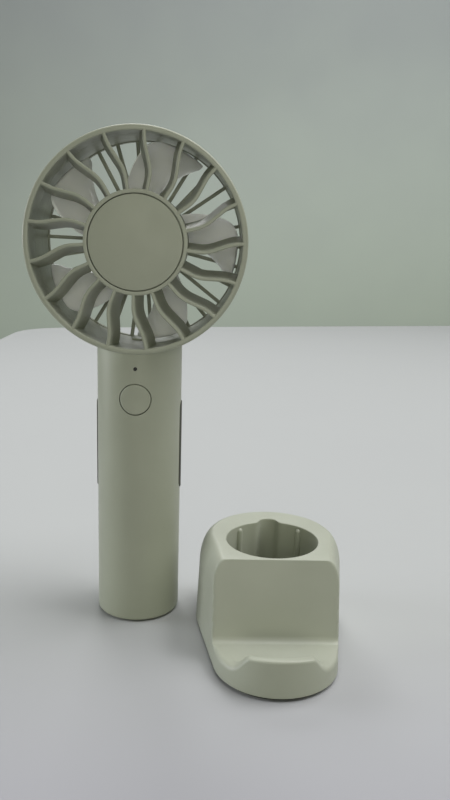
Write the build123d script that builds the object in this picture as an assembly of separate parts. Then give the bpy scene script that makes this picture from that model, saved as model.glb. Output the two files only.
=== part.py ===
"""Pocket fan with a round head on a straight handle, and the desk stand that it comes with.

Millimetres, +Z up. The origin is the centre of the handle's foot on the table, the fan faces -Y,
and the stand stands by itself on the +X side of the handle.
"""
from build123d import *
from math import asin, cos, degrees, hypot, pi, radians, sin, sqrt, tan
import os

# ---------------------------------------------------------------- driving dimensions
# Fits between pieces
SLIP = 0.1              # gap all round a piece that drops into another
GLUE = 0.05             # radial gap of a pressed or glued joint
RUNNING = 0.03          # radial clearance of the turning shaft
REVEAL = 0.3            # visible gap round the button

# Head: a short round duct, its axis along Y
HEAD_HEIGHT = 167.5     # centre of the duct above the table
HEAD_RADIUS = 45.5
HEAD_FRONT = -20.5      # front plane of the rim
HEAD_DEPTH = 40.0
DUCT_RADIUS = 43.15
EDGE_ROUND = 1.2
SHELL_SPLIT = 5.0       # plane where the front and rear shells meet

# Front grille
RIM_DEPTH = 3.0
SLEEVE_WALL = 1.0
VANE_COUNT = 17
VANE_THICKNESS = 1.25
VANE_DEPTH = 12.3
VANE_SKEW = 2.6         # sideways shift from a vane's front edge to its rear edge
VANE_FIRST = 4.5        # clock angle of the first vane's outer end
HUB_RING_RADIUS = 20.9
HUB_RING_WALL = 1.45
HUB_FLOOR_DEPTH = 2.6
HUB_FLOOR_THICKNESS = 1.6
CAP_GAP = 0.35
CAP_THICKNESS = 1.6
# An S-vane's centre line: share of the way from hub ring to duct, and clock angle there
VANE_STATIONS = ((0.0, 6.7), (0.33, 6.4), (0.6, 3.0), (0.85, -0.6), (1.0, 0.0))

# Rear grille
REAR_RING_INNER = 42.7
REAR_RING_DEPTH = 3.0
REAR_RING_SEAT = 1.1
BAR_COUNT = 30
BAR_WIDTH = 1.3
BAR_DEPTH = 2.4
BAR_FIRST = 7.5
MOTOR_PLATE_RADIUS = 18.5
MOTOR_PLATE_DEPTH = 2.5
MOTOR_SKIRT_LENGTH = 5.0
MOTOR_SKIRT_WALL = 1.4
REAR_CAP_RADIUS = 7.0
REAR_CAP_THICKNESS = 1.2

# Impeller
BLADE_COUNT = 5
IMPELLER_RADIUS = 41.5
IMPELLER_HUB_RADIUS = 17.5
IMPELLER_HUB_WALL = 1.4
IMPELLER_HUB_FRONT = -7.0
IMPELLER_HUB_REAR = 11.0
BLADE_FRONT = -6.4
BLADE_REAR = 8.6
BLADE_THICKNESS = 1.1
BLADE_WIDTH_ANGLE = 34.4
BLADE_SWEEP = 1.13      # degrees of clockwise sweep per millimetre of radius
BLADE_FRONT_ANGLE = -2.9
BLADE_ANGLE_RADIUS = 31.4
BLADE_CAMBER = 1.5
BLADE_CORNER = 5.0      # radius of a blade's two outer corners, seen from the front
BLADE_EDGE_ROOM = 0.4   # how far the trimming outline stays outside a blade's long edges

# Motor
YOKE_WALL = 1.05
YOKE_REAR = 10.5
MAGNET_THICKNESS = 1.75
MAGNET_FRONT = -2.0
MAGNET_LENGTH = 11.5
AIR_GAP = 0.4
STATOR_FRONT = 0.0
STATOR_LENGTH = 7.0
STATOR_RIM = 1.2
STATOR_TEETH = 9
TOOTH_WIDTH = 2.0
WINDING_THICKNESS = 1.2
WINDING_GAP = 0.6       # radial room between a coil and the core's ring
CORE_RING_WALL = 1.6
BOSS_RADIUS = 3.6
BOSS_FRONT = -1.5
BEARING_RADIUS = 2.5
BEARING_WIDTH = 2.3
SHAFT_RADIUS = 1.0
SHAFT_CLEAR_RADIUS = 1.8
CLIP_RADIUS = 2.2
CLIP_THICKNESS = 0.4
CLIP_GAP = 0.15
SHAFT_TAIL = 0.5
MOTOR_BOARD_RADIUS = 14.0
MOTOR_BOARD_THICKNESS = 1.0
MOTOR_BOARD_FRONT = 12.0

# Handle
HANDLE_RADIUS = 18.5
HANDLE_WALL = 2.0
HANDLE_BOTTOM = 0.6
HANDLE_FOOT_ROUND = 1.2

# Button, switch and light
LIGHT_BELOW_HEAD = 6.3  # from the head's underside down to the light
BUTTON_BELOW_LIGHT = 13.2
BUTTON_RADIUS = 6.55
BUTTON_FLANGE_RADIUS = 7.9
BUTTON_FLANGE_THICKNESS = 0.8
BUTTON_TRAVEL = 0.5
PLUNGER_RADIUS = 1.7
PLUNGER_LENGTH = 2.4
SWITCH_SIZE = 6.0
SWITCH_DEPTH = 3.4
SWITCH_HOLE_DEPTH = 2.0
LIGHT_HOLE_RADIUS = 0.85
LIGHT_PIPE_RADIUS = 0.75
LIGHT_COLLAR_RADIUS = 1.6
LIGHT_COLLAR_THICKNESS = 0.8
LIGHT_RECESS = 0.3
LED_SIZE = 1.6
LED_HEIGHT = 0.7

# Control board, upright behind the button
BOARD_FACE = -8.0
BOARD_THICKNESS = 1.2
BOARD_WIDTH = 19.0
BOARD_ABOVE_LIGHT = 4.8
BOARD_BELOW_BUTTON = 18.5
BOARD_SCREW_X = 7.0
BOARD_SCREW_ABOVE_END = 4.5
POST_RADIUS = 2.2
BOARD_SCREW_RADIUS = 0.8
BOARD_SCREW_HEAD = 1.6
BOARD_SCREW_HEAD_HEIGHT = 1.2
BOARD_SCREW_LENGTH = 5.0

# Battery and its cradle
CELL_RADIUS = 9.2
CELL_LENGTH = 65.0
CELL_BELOW_HEAD = 7.0   # from the head's underside down to the cell's top
CELL_AXIS_Y = 5.0
CRADLE_WALL = 1.2
CRADLE_END = 1.5
TAB_THICKNESS = 0.3
TAB_WIDTH = 8.0
TAB_REACH = 7.5         # how far a contact strip runs to the front of the cell's axis
SHELF_DEPTH = 2.2
SHELF_THICKNESS = 1.3

# Charging socket at the back of the handle, above the stand's rim when the fan is parked
PORT_BELOW_CELL = 8.0
PORT_WIDTH = 8.94
PORT_THICKNESS = 3.2
PORT_LENGTH = 7.35
PORT_WALL = 0.3
PORT_RECESS = 0.3
PORT_TONGUE = 0.7
CHARGE_BOARD_WIDTH = 14.0
CHARGE_BOARD_LENGTH = 13.0
CHARGE_BOARD_THICKNESS = 1.2

# Side grips, let into the handle
GRIP_BELOW_HEAD = 23.0  # from the head's underside down to the grips' tops
GRIP_LENGTH = 40.5
GRIP_WIDTH = 7.0
GRIP_POCKET = 1.0
GRIP_PROUD = 0.4

# Bottom of the handle
BASE_CAP_THICKNESS = 2.8
FOOT_RADIUS = 15.4
FOOT_THICKNESS = 0.9
BASE_SCREW_Y = 13.3
BASE_BOSS_RADIUS = 2.8
BASE_BOSS_HEIGHT = 10.5
BASE_SCREW_RADIUS = 0.95
BASE_SCREW_HEAD = 1.9
BASE_SCREW_HEAD_HEIGHT = 1.0
BASE_SCREW_LENGTH = 9.0

# Cover over the lead's way out of the neck, on the duct's floor
LEAD_COVER_WIDTH = 8.2
LEAD_COVER_THICKNESS = 0.75
LEAD_HOLE_WIDTH = 5.0
LEAD_HOLE_LENGTH = 6.0

# Desk stand. Its own frame: centre of the socket at the table, -Y towards its front
STAND_X = 60.4
STAND_Y = -19.3
STAND_TURN = 1.7        # degrees that its front turns towards +X
STAND_HEIGHT = 42.0
STAND_WALL = 2.2
STAND_SKIRT = 1.5       # height of the shell's lower edge above the table
REAR_ROUND = 32.5       # plan radius round the back, at the table
REAR_ROUND_BACK = 7.6   # its centre behind the socket's centre
FRONT_ROUND = 25.6
FRONT_ROUND_AHEAD = 31.4
STAND_DRAFT = 0.04      # inward lean of the walls per millimetre of height
CROWN_HEIGHT = 14.0     # height over which the walls round over into the top
CROWN_DEPTH = 6.3       # how far the top edge comes in there
CROWN_TURNS = (0, 22, 42, 60, 76, 90)   # degrees round the crown's curve where it is drawn
WALL_SECTIONS = 4       # sections of the leaning wall below it
SOCKET_RADIUS = 20.0
SOCKET_FLOOR = 9.0
SOCKET_FLOOR_THICKNESS = 2.0
SOCKET_RIM_ROUND = 1.0
SOCKET_TUBE_WALL = 1.7
RIB_PROUD = 1.2
RIB_WIDTH = 1.8
RIB_ANGLE = 42.0        # each side of the socket's back and of its front
RIB_DROP = 2.6          # top of a rib below the rim
SLOT_WIDTH = 8.4
SLOT_DEPTH = 4.4
SLOT_ROUND = 2.4
REST_TOP = 21.9         # distance of the telephone rest's top edge ahead of the socket's centre
REST_FOOT = 28.4        # and of its foot
LEDGE_HEIGHT = 9.5
LEDGE_ROUND = 1.0
REST_ROUND = 1.2
LIP_HEIGHT = 15.6
LIP_HALF_TOP = 11.0
LIP_HALF_FOOT = 18.0
LIP_THICKNESS = 3.4
STAND_PLATE_THICKNESS = 1.8
STAND_FOOT_INSET = 1.6
STAND_POST_RADIUS = 3.0
POST_SINK = 0.25        # how far a post's side runs into the wall
STAND_SCREW_RADIUS = 1.2
STAND_SCREW_HEAD = 2.1
STAND_SCREW_HEAD_HEIGHT = 1.1
STAND_SCREW_LENGTH = 5.0

# ---------------------------------------------------------------- sizes that follow
HEAD_REAR = HEAD_FRONT + HEAD_DEPTH
HEAD_UNDERSIDE = HEAD_HEIGHT - HEAD_RADIUS
LIGHT_HEIGHT = HEAD_UNDERSIDE - LIGHT_BELOW_HEAD
BUTTON_HEIGHT = LIGHT_HEIGHT - BUTTON_BELOW_LIGHT
BOARD_TOP = LIGHT_HEIGHT + BOARD_ABOVE_LIGHT
BOARD_BOTTOM = BUTTON_HEIGHT - BOARD_BELOW_BUTTON
BOARD_SCREW_HEIGHT = BOARD_BOTTOM + BOARD_SCREW_ABOVE_END
CELL_BOTTOM = HEAD_UNDERSIDE - CELL_BELOW_HEAD - CELL_LENGTH
PORT_HEIGHT = CELL_BOTTOM - PORT_BELOW_CELL
GRIP_BOTTOM = HEAD_UNDERSIDE - GRIP_BELOW_HEAD - GRIP_LENGTH
HANDLE_BORE = HANDLE_RADIUS - HANDLE_WALL
SLEEVE_RADIUS = DUCT_RADIUS + SLEEVE_WALL
VANE_REAR = HEAD_FRONT + VANE_DEPTH
SLEEVE_REAR = VANE_REAR + 0.4
HUB_BORE = HUB_RING_RADIUS - HUB_RING_WALL
HUB_FLOOR = HEAD_FRONT + HUB_FLOOR_DEPTH
REAR_SEAT = HEAD_REAR - REAR_RING_DEPTH
REAR_RING_OUTER = DUCT_RADIUS + REAR_RING_SEAT
PLATE_FRONT = HEAD_REAR - MOTOR_PLATE_DEPTH
YOKE_RADIUS = IMPELLER_HUB_RADIUS - IMPELLER_HUB_WALL - GLUE
YOKE_FRONT = IMPELLER_HUB_FRONT + IMPELLER_HUB_WALL
YOKE_BORE = YOKE_RADIUS - YOKE_WALL
MAGNET_OUTER = YOKE_BORE - GLUE
MAGNET_INNER = MAGNET_OUTER - MAGNET_THICKNESS
STATOR_RADIUS = MAGNET_INNER - AIR_GAP
BOSS_BORE = BEARING_RADIUS + RUNNING
FLANGE_FRONT = -sqrt(HANDLE_BORE**2 - BUTTON_FLANGE_RADIUS**2) + 0.2
FLANGE_BACK = FLANGE_FRONT + BUTTON_FLANGE_THICKNESS
SWITCH_FRONT = BOARD_FACE - SWITCH_DEPTH
PLUNGER_REAR = SWITCH_FRONT + SWITCH_HOLE_DEPTH - BUTTON_TRAVEL - 0.2
PLUNGER_FRONT = PLUNGER_REAR - PLUNGER_LENGTH
CELL_TOP = CELL_BOTTOM + CELL_LENGTH
CRADLE_BOTTOM = CELL_BOTTOM - TAB_THICKNESS - CRADLE_END
CRADLE_TOP = CELL_TOP + TAB_THICKNESS + CRADLE_END
CRADLE_RADIUS = CELL_RADIUS + 0.15 + CRADLE_WALL
PORT_REAR = sqrt(HANDLE_RADIUS**2 - (PORT_WIDTH / 2) ** 2) - PORT_RECESS
CHARGE_BOARD_TOP = PORT_HEIGHT - PORT_THICKNESS / 2
BASE_CAP_TOP = HANDLE_BOTTOM + BASE_CAP_THICKNESS
STAND_PLATE_TOP = STAND_SKIRT + STAND_PLATE_THICKNESS

HEAD = Plane(origin=(0, 0, HEAD_HEIGHT), x_dir=(1, 0, 0), z_dir=(0, 1, 0)).location
STAND = Location((STAND_X, STAND_Y, 0), (0, 0, STAND_TURN))
FULL = 200.0            # longer than any piece, for cutting tools


# ---------------------------------------------------------------- shared shapes
def disc(radius, low, high):
    """A solid disc or cylinder round the local Z axis, from low to high."""
    return Pos(0, 0, low) * Cylinder(radius, high - low, align=(Align.CENTER, Align.CENTER, Align.MIN))


def ring(outer, inner, low, high):
    """A tube round the local Z axis, from low to high."""
    return disc(outer, low, high) - disc(inner, low - 1, high + 1)


def block(x_size, y_low, y_high, z_low, z_high):
    """A box centred on X = 0, from y_low to y_high and from z_low to z_high."""
    middle = Pos(0, (y_low + y_high) / 2, (z_low + z_high) / 2)
    return middle * Box(x_size, y_high - y_low, z_high - z_low)


def rod(radius, y_low, y_high, x=0.0, z=0.0):
    """A round rod along Y."""
    return Pos(x, y_low, z) * Rot(-90, 0, 0) * disc(radius, 0, y_high - y_low)


def clock(radius, angle):
    """Point of the head's plane at a clock angle, in degrees clockwise from the top."""
    return (radius * sin(radians(angle)), -radius * cos(radians(angle)))


def around(shape, count, first=0.0):
    """Copies of a shape, evenly spaced round the local Z axis."""
    return [Rot(0, 0, first + 360 * step / count) * shape for step in range(count)]


# ---------------------------------------------------------------- shells of head and handle
def shell_blank():
    """Duct wall and handle tube as one form, before it is parted."""
    duct = HEAD * ring(HEAD_RADIUS, DUCT_RADIUS, HEAD_FRONT + RIM_DEPTH, HEAD_REAR)
    circles = duct.edges().filter_by(GeomType.CIRCLE)
    rear_edge = circles.sort_by(Axis.Y)[-2:].sort_by(SortBy.RADIUS)[-1:]
    duct = fillet(rear_edge, EDGE_ROUND)
    tube = disc(HANDLE_RADIUS, HANDLE_BOTTOM, HEAD_HEIGHT)
    foot_edge = tube.edges().filter_by(GeomType.CIRCLE).sort_by(Axis.Z)[:1]
    tube = fillet(foot_edge, HANDLE_FOOT_ROUND)
    tube -= HEAD * disc(HEAD_RADIUS - HANDLE_WALL / 2, HEAD_FRONT - 1, HEAD_REAR + 1)
    rim_room = HEAD * disc(HEAD_RADIUS + SLIP, HEAD_FRONT - 1, HEAD_FRONT + RIM_DEPTH)
    bore = disc(HANDLE_BORE, -1, HEAD_HEIGHT) - HEAD * disc(HEAD_RADIUS, HEAD_FRONT - 1, HEAD_REAR + 1)
    return duct + tube - rim_room - bore


def handle_front_fittings():
    """Posts for the control board and the boss for the front base screw."""
    parts = []
    for side in (-1, 1):
        start = -sqrt(HANDLE_BORE**2 - BOARD_SCREW_X**2) - HANDLE_WALL / 2
        post = rod(POST_RADIUS, start, BOARD_FACE, side * BOARD_SCREW_X, BOARD_SCREW_HEIGHT)
        pilot = rod(BOARD_SCREW_RADIUS, BOARD_FACE - BOARD_SCREW_LENGTH, BOARD_FACE + 1,
                    side * BOARD_SCREW_X, BOARD_SCREW_HEIGHT)
        parts.append(post - pilot)
    return parts + [base_boss(-1)]


def base_boss(side):
    """Boss inside the foot of the tube that one base screw bites into."""
    centre = Pos(0, side * BASE_SCREW_Y, 0)
    boss = centre * disc(BASE_BOSS_RADIUS, BASE_CAP_TOP, BASE_CAP_TOP + BASE_BOSS_HEIGHT)
    web_edge = side * (HANDLE_BORE + HANDLE_WALL / 2)
    web = block(BASE_BOSS_RADIUS, *sorted((side * BASE_SCREW_Y, web_edge)),
                BASE_CAP_TOP, BASE_CAP_TOP + BASE_BOSS_HEIGHT)
    pilot = centre * disc(BASE_SCREW_RADIUS, BASE_CAP_TOP - 1, FOOT_THICKNESS + BASE_SCREW_LENGTH + 1)
    inside = disc(HANDLE_BORE + HANDLE_WALL / 2, 0, HEAD_HEIGHT)
    return (boss + web) & inside - pilot


def grip_blank(outer, low_gap=0.0):
    """Stadium-shaped strip of the handle's surface, the shape of one side grip."""
    strip = Plane.YZ * SlotOverall(GRIP_LENGTH - 2 * low_gap, GRIP_WIDTH - 2 * low_gap, 90)
    bar = extrude(strip, amount=HANDLE_RADIUS * 2)
    inner = HANDLE_RADIUS - GRIP_POCKET + low_gap / 2
    middle = GRIP_BOTTOM + GRIP_LENGTH / 2
    return Pos(0, 0, middle) * (bar & ring(outer, inner, -GRIP_LENGTH, GRIP_LENGTH))


def front_shell():
    """Front half of the head and handle, with the button and light holes and the grip pockets."""
    shell = shell_blank() & block(FULL, -FULL, SHELL_SPLIT, -1, FULL * 2)
    shell -= HEAD * disc(SLEEVE_RADIUS + SLIP, HEAD_FRONT, SLEEVE_REAR)
    shell -= rod(BUTTON_RADIUS + REVEAL, -FULL, 0, 0, BUTTON_HEIGHT)
    shell -= rod(LIGHT_HOLE_RADIUS, -FULL, 0, 0, LIGHT_HEIGHT)
    pocket = grip_blank(HANDLE_RADIUS * 1.2)
    shell -= [pocket, Rot(0, 0, 180) * pocket]
    for fitting in handle_front_fittings():
        shell += fitting
    return shell


def rear_shell():
    """Rear half of the head and handle, with the grille's rebate, socket hole and shelves."""
    shell = shell_blank() & block(FULL, SHELL_SPLIT, FULL, -1, FULL * 2)
    shell -= HEAD * disc(REAR_RING_OUTER + SLIP, REAR_SEAT, FULL)
    lead_hole = block(LEAD_HOLE_WIDTH, SHELL_SPLIT + 2, SHELL_SPLIT + 2 + LEAD_HOLE_LENGTH,
                      HEAD_HEIGHT - HEAD_RADIUS - 1, HEAD_HEIGHT - DUCT_RADIUS + 2)
    shell -= lead_hole
    for low in (CRADLE_BOTTOM - SHELF_THICKNESS, CRADLE_TOP,
                CHARGE_BOARD_TOP - CHARGE_BOARD_THICKNESS - SHELF_THICKNESS):
        shelf = ring(HANDLE_BORE + HANDLE_WALL / 2, HANDLE_BORE - SHELF_DEPTH, low, low + SHELF_THICKNESS)
        shell += shelf & block(FULL, SHELL_SPLIT, FULL, -1, FULL)
    shell -= port_outline(PORT_REAR - PORT_LENGTH, FULL, SLIP * 2)
    return shell + base_boss(1)


def port_outline(y_low, y_high, grow=0.0):
    """Flat bar with round ends along Y, the section of the charging socket."""
    face = Plane.XZ * SlotOverall(PORT_WIDTH + 2 * grow, PORT_THICKNESS + 2 * grow)
    return Pos(0, y_high, PORT_HEIGHT) * extrude(face, amount=y_high - y_low)


# ---------------------------------------------------------------- front grille and cap
def s_vane():
    """One S-shaped vane, its front edge bent in plan and the whole blade skewed against the swirl."""
    inner = HUB_RING_RADIUS - HUB_RING_WALL / 2
    outer = DUCT_RADIUS + SLEEVE_WALL / 2
    points = [clock(inner + share * (outer - inner), angle) for share, angle in VANE_STATIONS]
    ribbon = trace(Spline(*points), VANE_THICKNESS)
    direction = Vector(-VANE_SKEW, 0, VANE_DEPTH)
    return Pos(0, 0, HEAD_FRONT) * extrude(ribbon, amount=direction.length, dir=direction.normalized())


def front_grille():
    """Rim, sleeve, hub cup and the ring of S-vanes, one moulding."""
    rim_back = HEAD_FRONT + RIM_DEPTH
    rim = Polyline((DUCT_RADIUS, HEAD_FRONT), (HEAD_RADIUS, HEAD_FRONT), (HEAD_RADIUS, rim_back),
                   (SLEEVE_RADIUS, rim_back), (SLEEVE_RADIUS, SLEEVE_REAR), (DUCT_RADIUS, SLEEVE_REAR),
                   close=True)
    section = make_face(rim)
    corner = section.vertices().sort_by(Axis.X)[-2:].sort_by(Axis.Y)[:1]
    section = fillet(corner, EDGE_ROUND)
    body = revolve(Plane.XZ * section, Axis.Z)
    hub = ring(HUB_RING_RADIUS, HUB_BORE, HEAD_FRONT, VANE_REAR)
    hub += disc(HUB_BORE + HUB_RING_WALL / 2, HUB_FLOOR, HUB_FLOOR + HUB_FLOOR_THICKNESS)
    for vane in around(s_vane(), VANE_COUNT, VANE_FIRST):
        body += vane
    return HEAD * (body + hub)


def centre_cap():
    """Round cover over the hub cup, on a locating skirt."""
    radius = HUB_BORE - CAP_GAP
    skirt_radius = radius - 2.0
    face = disc(radius, HEAD_FRONT, HEAD_FRONT + CAP_THICKNESS)
    skirt = ring(skirt_radius, skirt_radius - 1.2, HEAD_FRONT + CAP_THICKNESS, HUB_FLOOR)
    return HEAD * (face + skirt)


# ---------------------------------------------------------------- rear grille and motor seat
def rear_grille():
    """Outer ring, straight bars, and the plate that carries the motor on its boss."""
    frame = ring(REAR_RING_OUTER, REAR_RING_INNER, REAR_SEAT, HEAD_REAR)
    length = REAR_RING_INNER - MOTOR_PLATE_RADIUS + 1.5
    middle = (REAR_RING_INNER + MOTOR_PLATE_RADIUS) / 2
    bar = Pos(0, -middle, HEAD_REAR - BAR_DEPTH / 2) * Box(BAR_WIDTH, length, BAR_DEPTH)
    plate = disc(MOTOR_PLATE_RADIUS, PLATE_FRONT, HEAD_REAR)
    plate += ring(MOTOR_PLATE_RADIUS, MOTOR_PLATE_RADIUS - MOTOR_SKIRT_WALL,
                  PLATE_FRONT - MOTOR_SKIRT_LENGTH, PLATE_FRONT)
    board_rear = MOTOR_BOARD_FRONT + MOTOR_BOARD_THICKNESS
    plate += ring(MOTOR_BOARD_RADIUS - 1, MOTOR_BOARD_RADIUS - 2.2, board_rear, PLATE_FRONT)
    plate += disc(BOSS_RADIUS, BOSS_FRONT, PLATE_FRONT)
    plate -= disc(SHAFT_CLEAR_RADIUS, BOSS_FRONT, HEAD_REAR)
    plate -= disc(BOSS_BORE, BOSS_FRONT - 1, BOSS_FRONT + BEARING_WIDTH)
    plate -= disc(BOSS_BORE, PLATE_FRONT - BEARING_WIDTH, HEAD_REAR)
    plate -= disc(REAR_CAP_RADIUS + SLIP, HEAD_REAR - REAR_CAP_THICKNESS, HEAD_REAR + 1)
    for one in around(bar, BAR_COUNT, BAR_FIRST):
        frame += one
    return HEAD * (frame + plate)


def rear_hub_cap():
    """Small round cover over the end of the shaft."""
    cap = disc(REAR_CAP_RADIUS, HEAD_REAR - REAR_CAP_THICKNESS, HEAD_REAR)
    edge = cap.edges().filter_by(GeomType.CIRCLE).sort_by(Axis.Z)[-1:]
    return HEAD * chamfer(edge, 0.3)


# ---------------------------------------------------------------- impeller
def blade_section(radius):
    """Cambered section of a blade at one radius, on the plane square to that radius."""
    shift = BLADE_SWEEP * (radius - BLADE_ANGLE_RADIUS)
    middle = BLADE_FRONT_ANGLE + shift + BLADE_WIDTH_ANGLE / 2
    half_chord = radius * tan(radians(BLADE_WIDTH_ANGLE / 2))
    half_depth = (BLADE_REAR - BLADE_FRONT) / 2
    run = Vector(half_chord, half_depth).normalized()
    normal = Vector(run.Y, -run.X) * (BLADE_THICKNESS / 2)
    front = Vector(-half_chord, -half_depth)
    rear = Vector(half_chord, half_depth)
    crown = Vector(run.Y, -run.X) * BLADE_CAMBER
    upper = ThreePointArc(front + normal, crown + normal, rear + normal)
    lower = ThreePointArc(front - normal, crown - normal, rear - normal)
    outline = [upper, lower, Line(upper @ 0, lower @ 0), Line(upper @ 1, lower @ 1)]
    centre = clock(radius, middle)
    depth_middle = (BLADE_FRONT + BLADE_REAR) / 2
    # local X runs clockwise round the hub, local Y to the rear
    tangent = (cos(radians(middle)), sin(radians(middle)), 0)
    outward = (sin(radians(middle)), -cos(radians(middle)), 0)
    plane = Plane(origin=(*centre, depth_middle), x_dir=tangent, z_dir=outward)
    return plane * make_face(outline)


def blade_lean(radius):
    """Clock angle of a blade's front edge at one radius."""
    across = radius * cos(radians(BLADE_WIDTH_ANGLE / 2))
    return BLADE_FRONT_ANGLE + BLADE_SWEEP * (across - BLADE_ANGLE_RADIUS)


def blade_plan():
    """Outline of a blade seen from the front, its two outer corners rounded."""
    root = IMPELLER_HUB_RADIUS - IMPELLER_HUB_WALL
    radii = [root + share * (IMPELLER_RADIUS - root) for share in (0, 0.25, 0.5, 0.75, 1)]
    edges = []
    for width, side in ((0, -1), (BLADE_WIDTH_ANGLE, 1)):
        room = [side * degrees(BLADE_EDGE_ROOM / radius) for radius in radii]
        edges.append([clock(radius, blade_lean(radius) + width + extra) for radius, extra in zip(radii, room)])
    front, rear = edges
    tip_middle = clock(IMPELLER_RADIUS, blade_lean(IMPELLER_RADIUS) + BLADE_WIDTH_ANGLE / 2)
    tip = ThreePointArc(front[-1], tip_middle, rear[-1])
    face = make_face([Spline(*front), tip, Spline(*rear), Line(front[0], rear[0])])
    corners = face.vertices().sort_by(lambda corner: -hypot(corner.X, corner.Y))[:2]
    return fillet(corners, BLADE_CORNER)


def blade():
    """One swept and twisted blade, its tip trimmed round."""
    root = IMPELLER_HUB_RADIUS - IMPELLER_HUB_WALL / 2
    stations = [root + share * (IMPELLER_RADIUS + 1.5 - root) for share in (0, 0.33, 0.67, 1)]
    body = loft([blade_section(radius) for radius in stations])
    low = BLADE_FRONT - BLADE_THICKNESS * 2
    high = BLADE_REAR + BLADE_THICKNESS * 2
    trim = Pos(0, 0, low) * extrude(blade_plan(), amount=high - low)
    return (body & trim) - disc(root, low - 1, high + 1)


def impeller():
    """Hub cup and five blades, one moulding."""
    hub = disc(IMPELLER_HUB_RADIUS, IMPELLER_HUB_FRONT, IMPELLER_HUB_REAR)
    hub -= disc(YOKE_RADIUS + GLUE, YOKE_FRONT, IMPELLER_HUB_REAR + 1)
    edge = hub.edges().filter_by(GeomType.CIRCLE).sort_by(Axis.Z)[:1]
    hub = fillet(edge, EDGE_ROUND)
    for one in around(blade(), BLADE_COUNT):
        hub += one
    return HEAD * hub


# ---------------------------------------------------------------- motor
def rotor_yoke():
    """Steel cup that carries the magnet and is pressed on the shaft."""
    cup = disc(YOKE_RADIUS, YOKE_FRONT, YOKE_REAR)
    cup -= disc(YOKE_BORE, YOKE_FRONT + YOKE_WALL, YOKE_REAR + 1)
    neck = disc(SHAFT_CLEAR_RADIUS + 0.6, YOKE_FRONT + YOKE_WALL, BOSS_FRONT - 0.5)
    return HEAD * (cup + neck - disc(SHAFT_RADIUS, YOKE_FRONT - 1, YOKE_REAR))


def magnet_ring():
    """Ring magnet inside the yoke."""
    return HEAD * ring(MAGNET_OUTER, MAGNET_INNER, MAGNET_FRONT, MAGNET_FRONT + MAGNET_LENGTH)


def motor_shaft():
    """Steel shaft with the groove for its clip."""
    groove = PLATE_FRONT + CLIP_GAP
    shaft = disc(SHAFT_RADIUS, YOKE_FRONT, groove + CLIP_THICKNESS + SHAFT_TAIL)
    return HEAD * (shaft - ring(SHAFT_RADIUS + 1, SHAFT_RADIUS - 0.25, groove, groove + CLIP_THICKNESS))


def shaft_clip():
    """Open clip that keeps the shaft in its rear bearing."""
    groove = PLATE_FRONT + CLIP_GAP
    clip = ring(CLIP_RADIUS, SHAFT_RADIUS - 0.25, groove, groove + CLIP_THICKNESS)
    mouth = Pos(0, CLIP_RADIUS, groove) * Box(SHAFT_RADIUS * 1.2, CLIP_RADIUS * 2, CLIP_THICKNESS * 4)
    return HEAD * (clip - mouth)


def bearing(low):
    """Small ball bearing as one ring with a shallow shield groove in each face."""
    race = ring(BEARING_RADIUS, SHAFT_RADIUS + RUNNING, low, low + BEARING_WIDTH)
    for face in (low - 1, low + BEARING_WIDTH - 0.15):
        race -= ring(BEARING_RADIUS - 0.4, SHAFT_RADIUS + RUNNING + 0.35, face, face + 1.15)
    return HEAD * race


def stator_core():
    """Laminated core: a ring pressed on the boss, and teeth with their shoes."""
    end = STATOR_FRONT + STATOR_LENGTH
    core = ring(BOSS_RADIUS + GLUE + CORE_RING_WALL, BOSS_RADIUS + GLUE, STATOR_FRONT, end)
    reach = STATOR_RADIUS - STATOR_RIM / 2 - BOSS_RADIUS - CORE_RING_WALL / 2
    tooth = Pos(0, BOSS_RADIUS + CORE_RING_WALL / 2 + reach / 2, (STATOR_FRONT + end) / 2)
    tooth *= Box(TOOTH_WIDTH, reach, STATOR_LENGTH)
    shoe_angle = 360 / STATOR_TEETH * 0.4
    shoe = ring(STATOR_RADIUS, STATOR_RADIUS - STATOR_RIM, STATOR_FRONT, end)
    half_shoe = STATOR_RADIUS * sin(radians(shoe_angle))
    shoe &= block(2 * half_shoe, 0, STATOR_RADIUS * 2, STATOR_FRONT - 1, end + 1)
    for one in around(tooth + shoe, STATOR_TEETH):
        core += one
    return HEAD * core


def stator_windings():
    """One wound coil round each tooth of the core."""
    low = BOSS_RADIUS + GLUE + CORE_RING_WALL + WINDING_GAP
    front = STATOR_FRONT - WINDING_THICKNESS - SLIP
    rear = STATOR_FRONT + STATOR_LENGTH + WINDING_THICKNESS + SLIP
    width = TOOTH_WIDTH + 2 * SLIP
    inner_half = low * tan(pi / STATOR_TEETH) - 1.5 * SLIP
    outer_half = width / 2 + 2 * WINDING_THICKNESS
    high = sqrt((STATOR_RADIUS - STATOR_RIM - 2 * SLIP) ** 2 - outer_half**2)
    outline = Polyline((-inner_half, low), (inner_half, low), (outer_half, high), (-outer_half, high),
                       close=True)
    coil = Pos(0, 0, front) * extrude(make_face(outline), amount=rear - front)
    coil -= Pos(0, (low + high) / 2, (front + rear) / 2) * Box(width, FULL / 4, STATOR_LENGTH + 2 * SLIP)
    return Compound(children=[HEAD * one for one in around(coil, STATOR_TEETH)])


def motor_board():
    """Round driver board behind the coils."""
    rear = MOTOR_BOARD_FRONT + MOTOR_BOARD_THICKNESS
    return HEAD * ring(MOTOR_BOARD_RADIUS, BOSS_RADIUS + SLIP, MOTOR_BOARD_FRONT, rear)


def lead_cover():
    """Thin curved cover on the duct's floor, over the lead's way out of the neck."""
    outer = DUCT_RADIUS - GLUE
    cover = ring(outer, outer - LEAD_COVER_THICKNESS, SHELL_SPLIT + 0.5, REAR_SEAT - SLIP)
    cover &= Pos(0, outer, 0) * Box(LEAD_COVER_WIDTH, outer, FULL)
    return HEAD * cover


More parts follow.
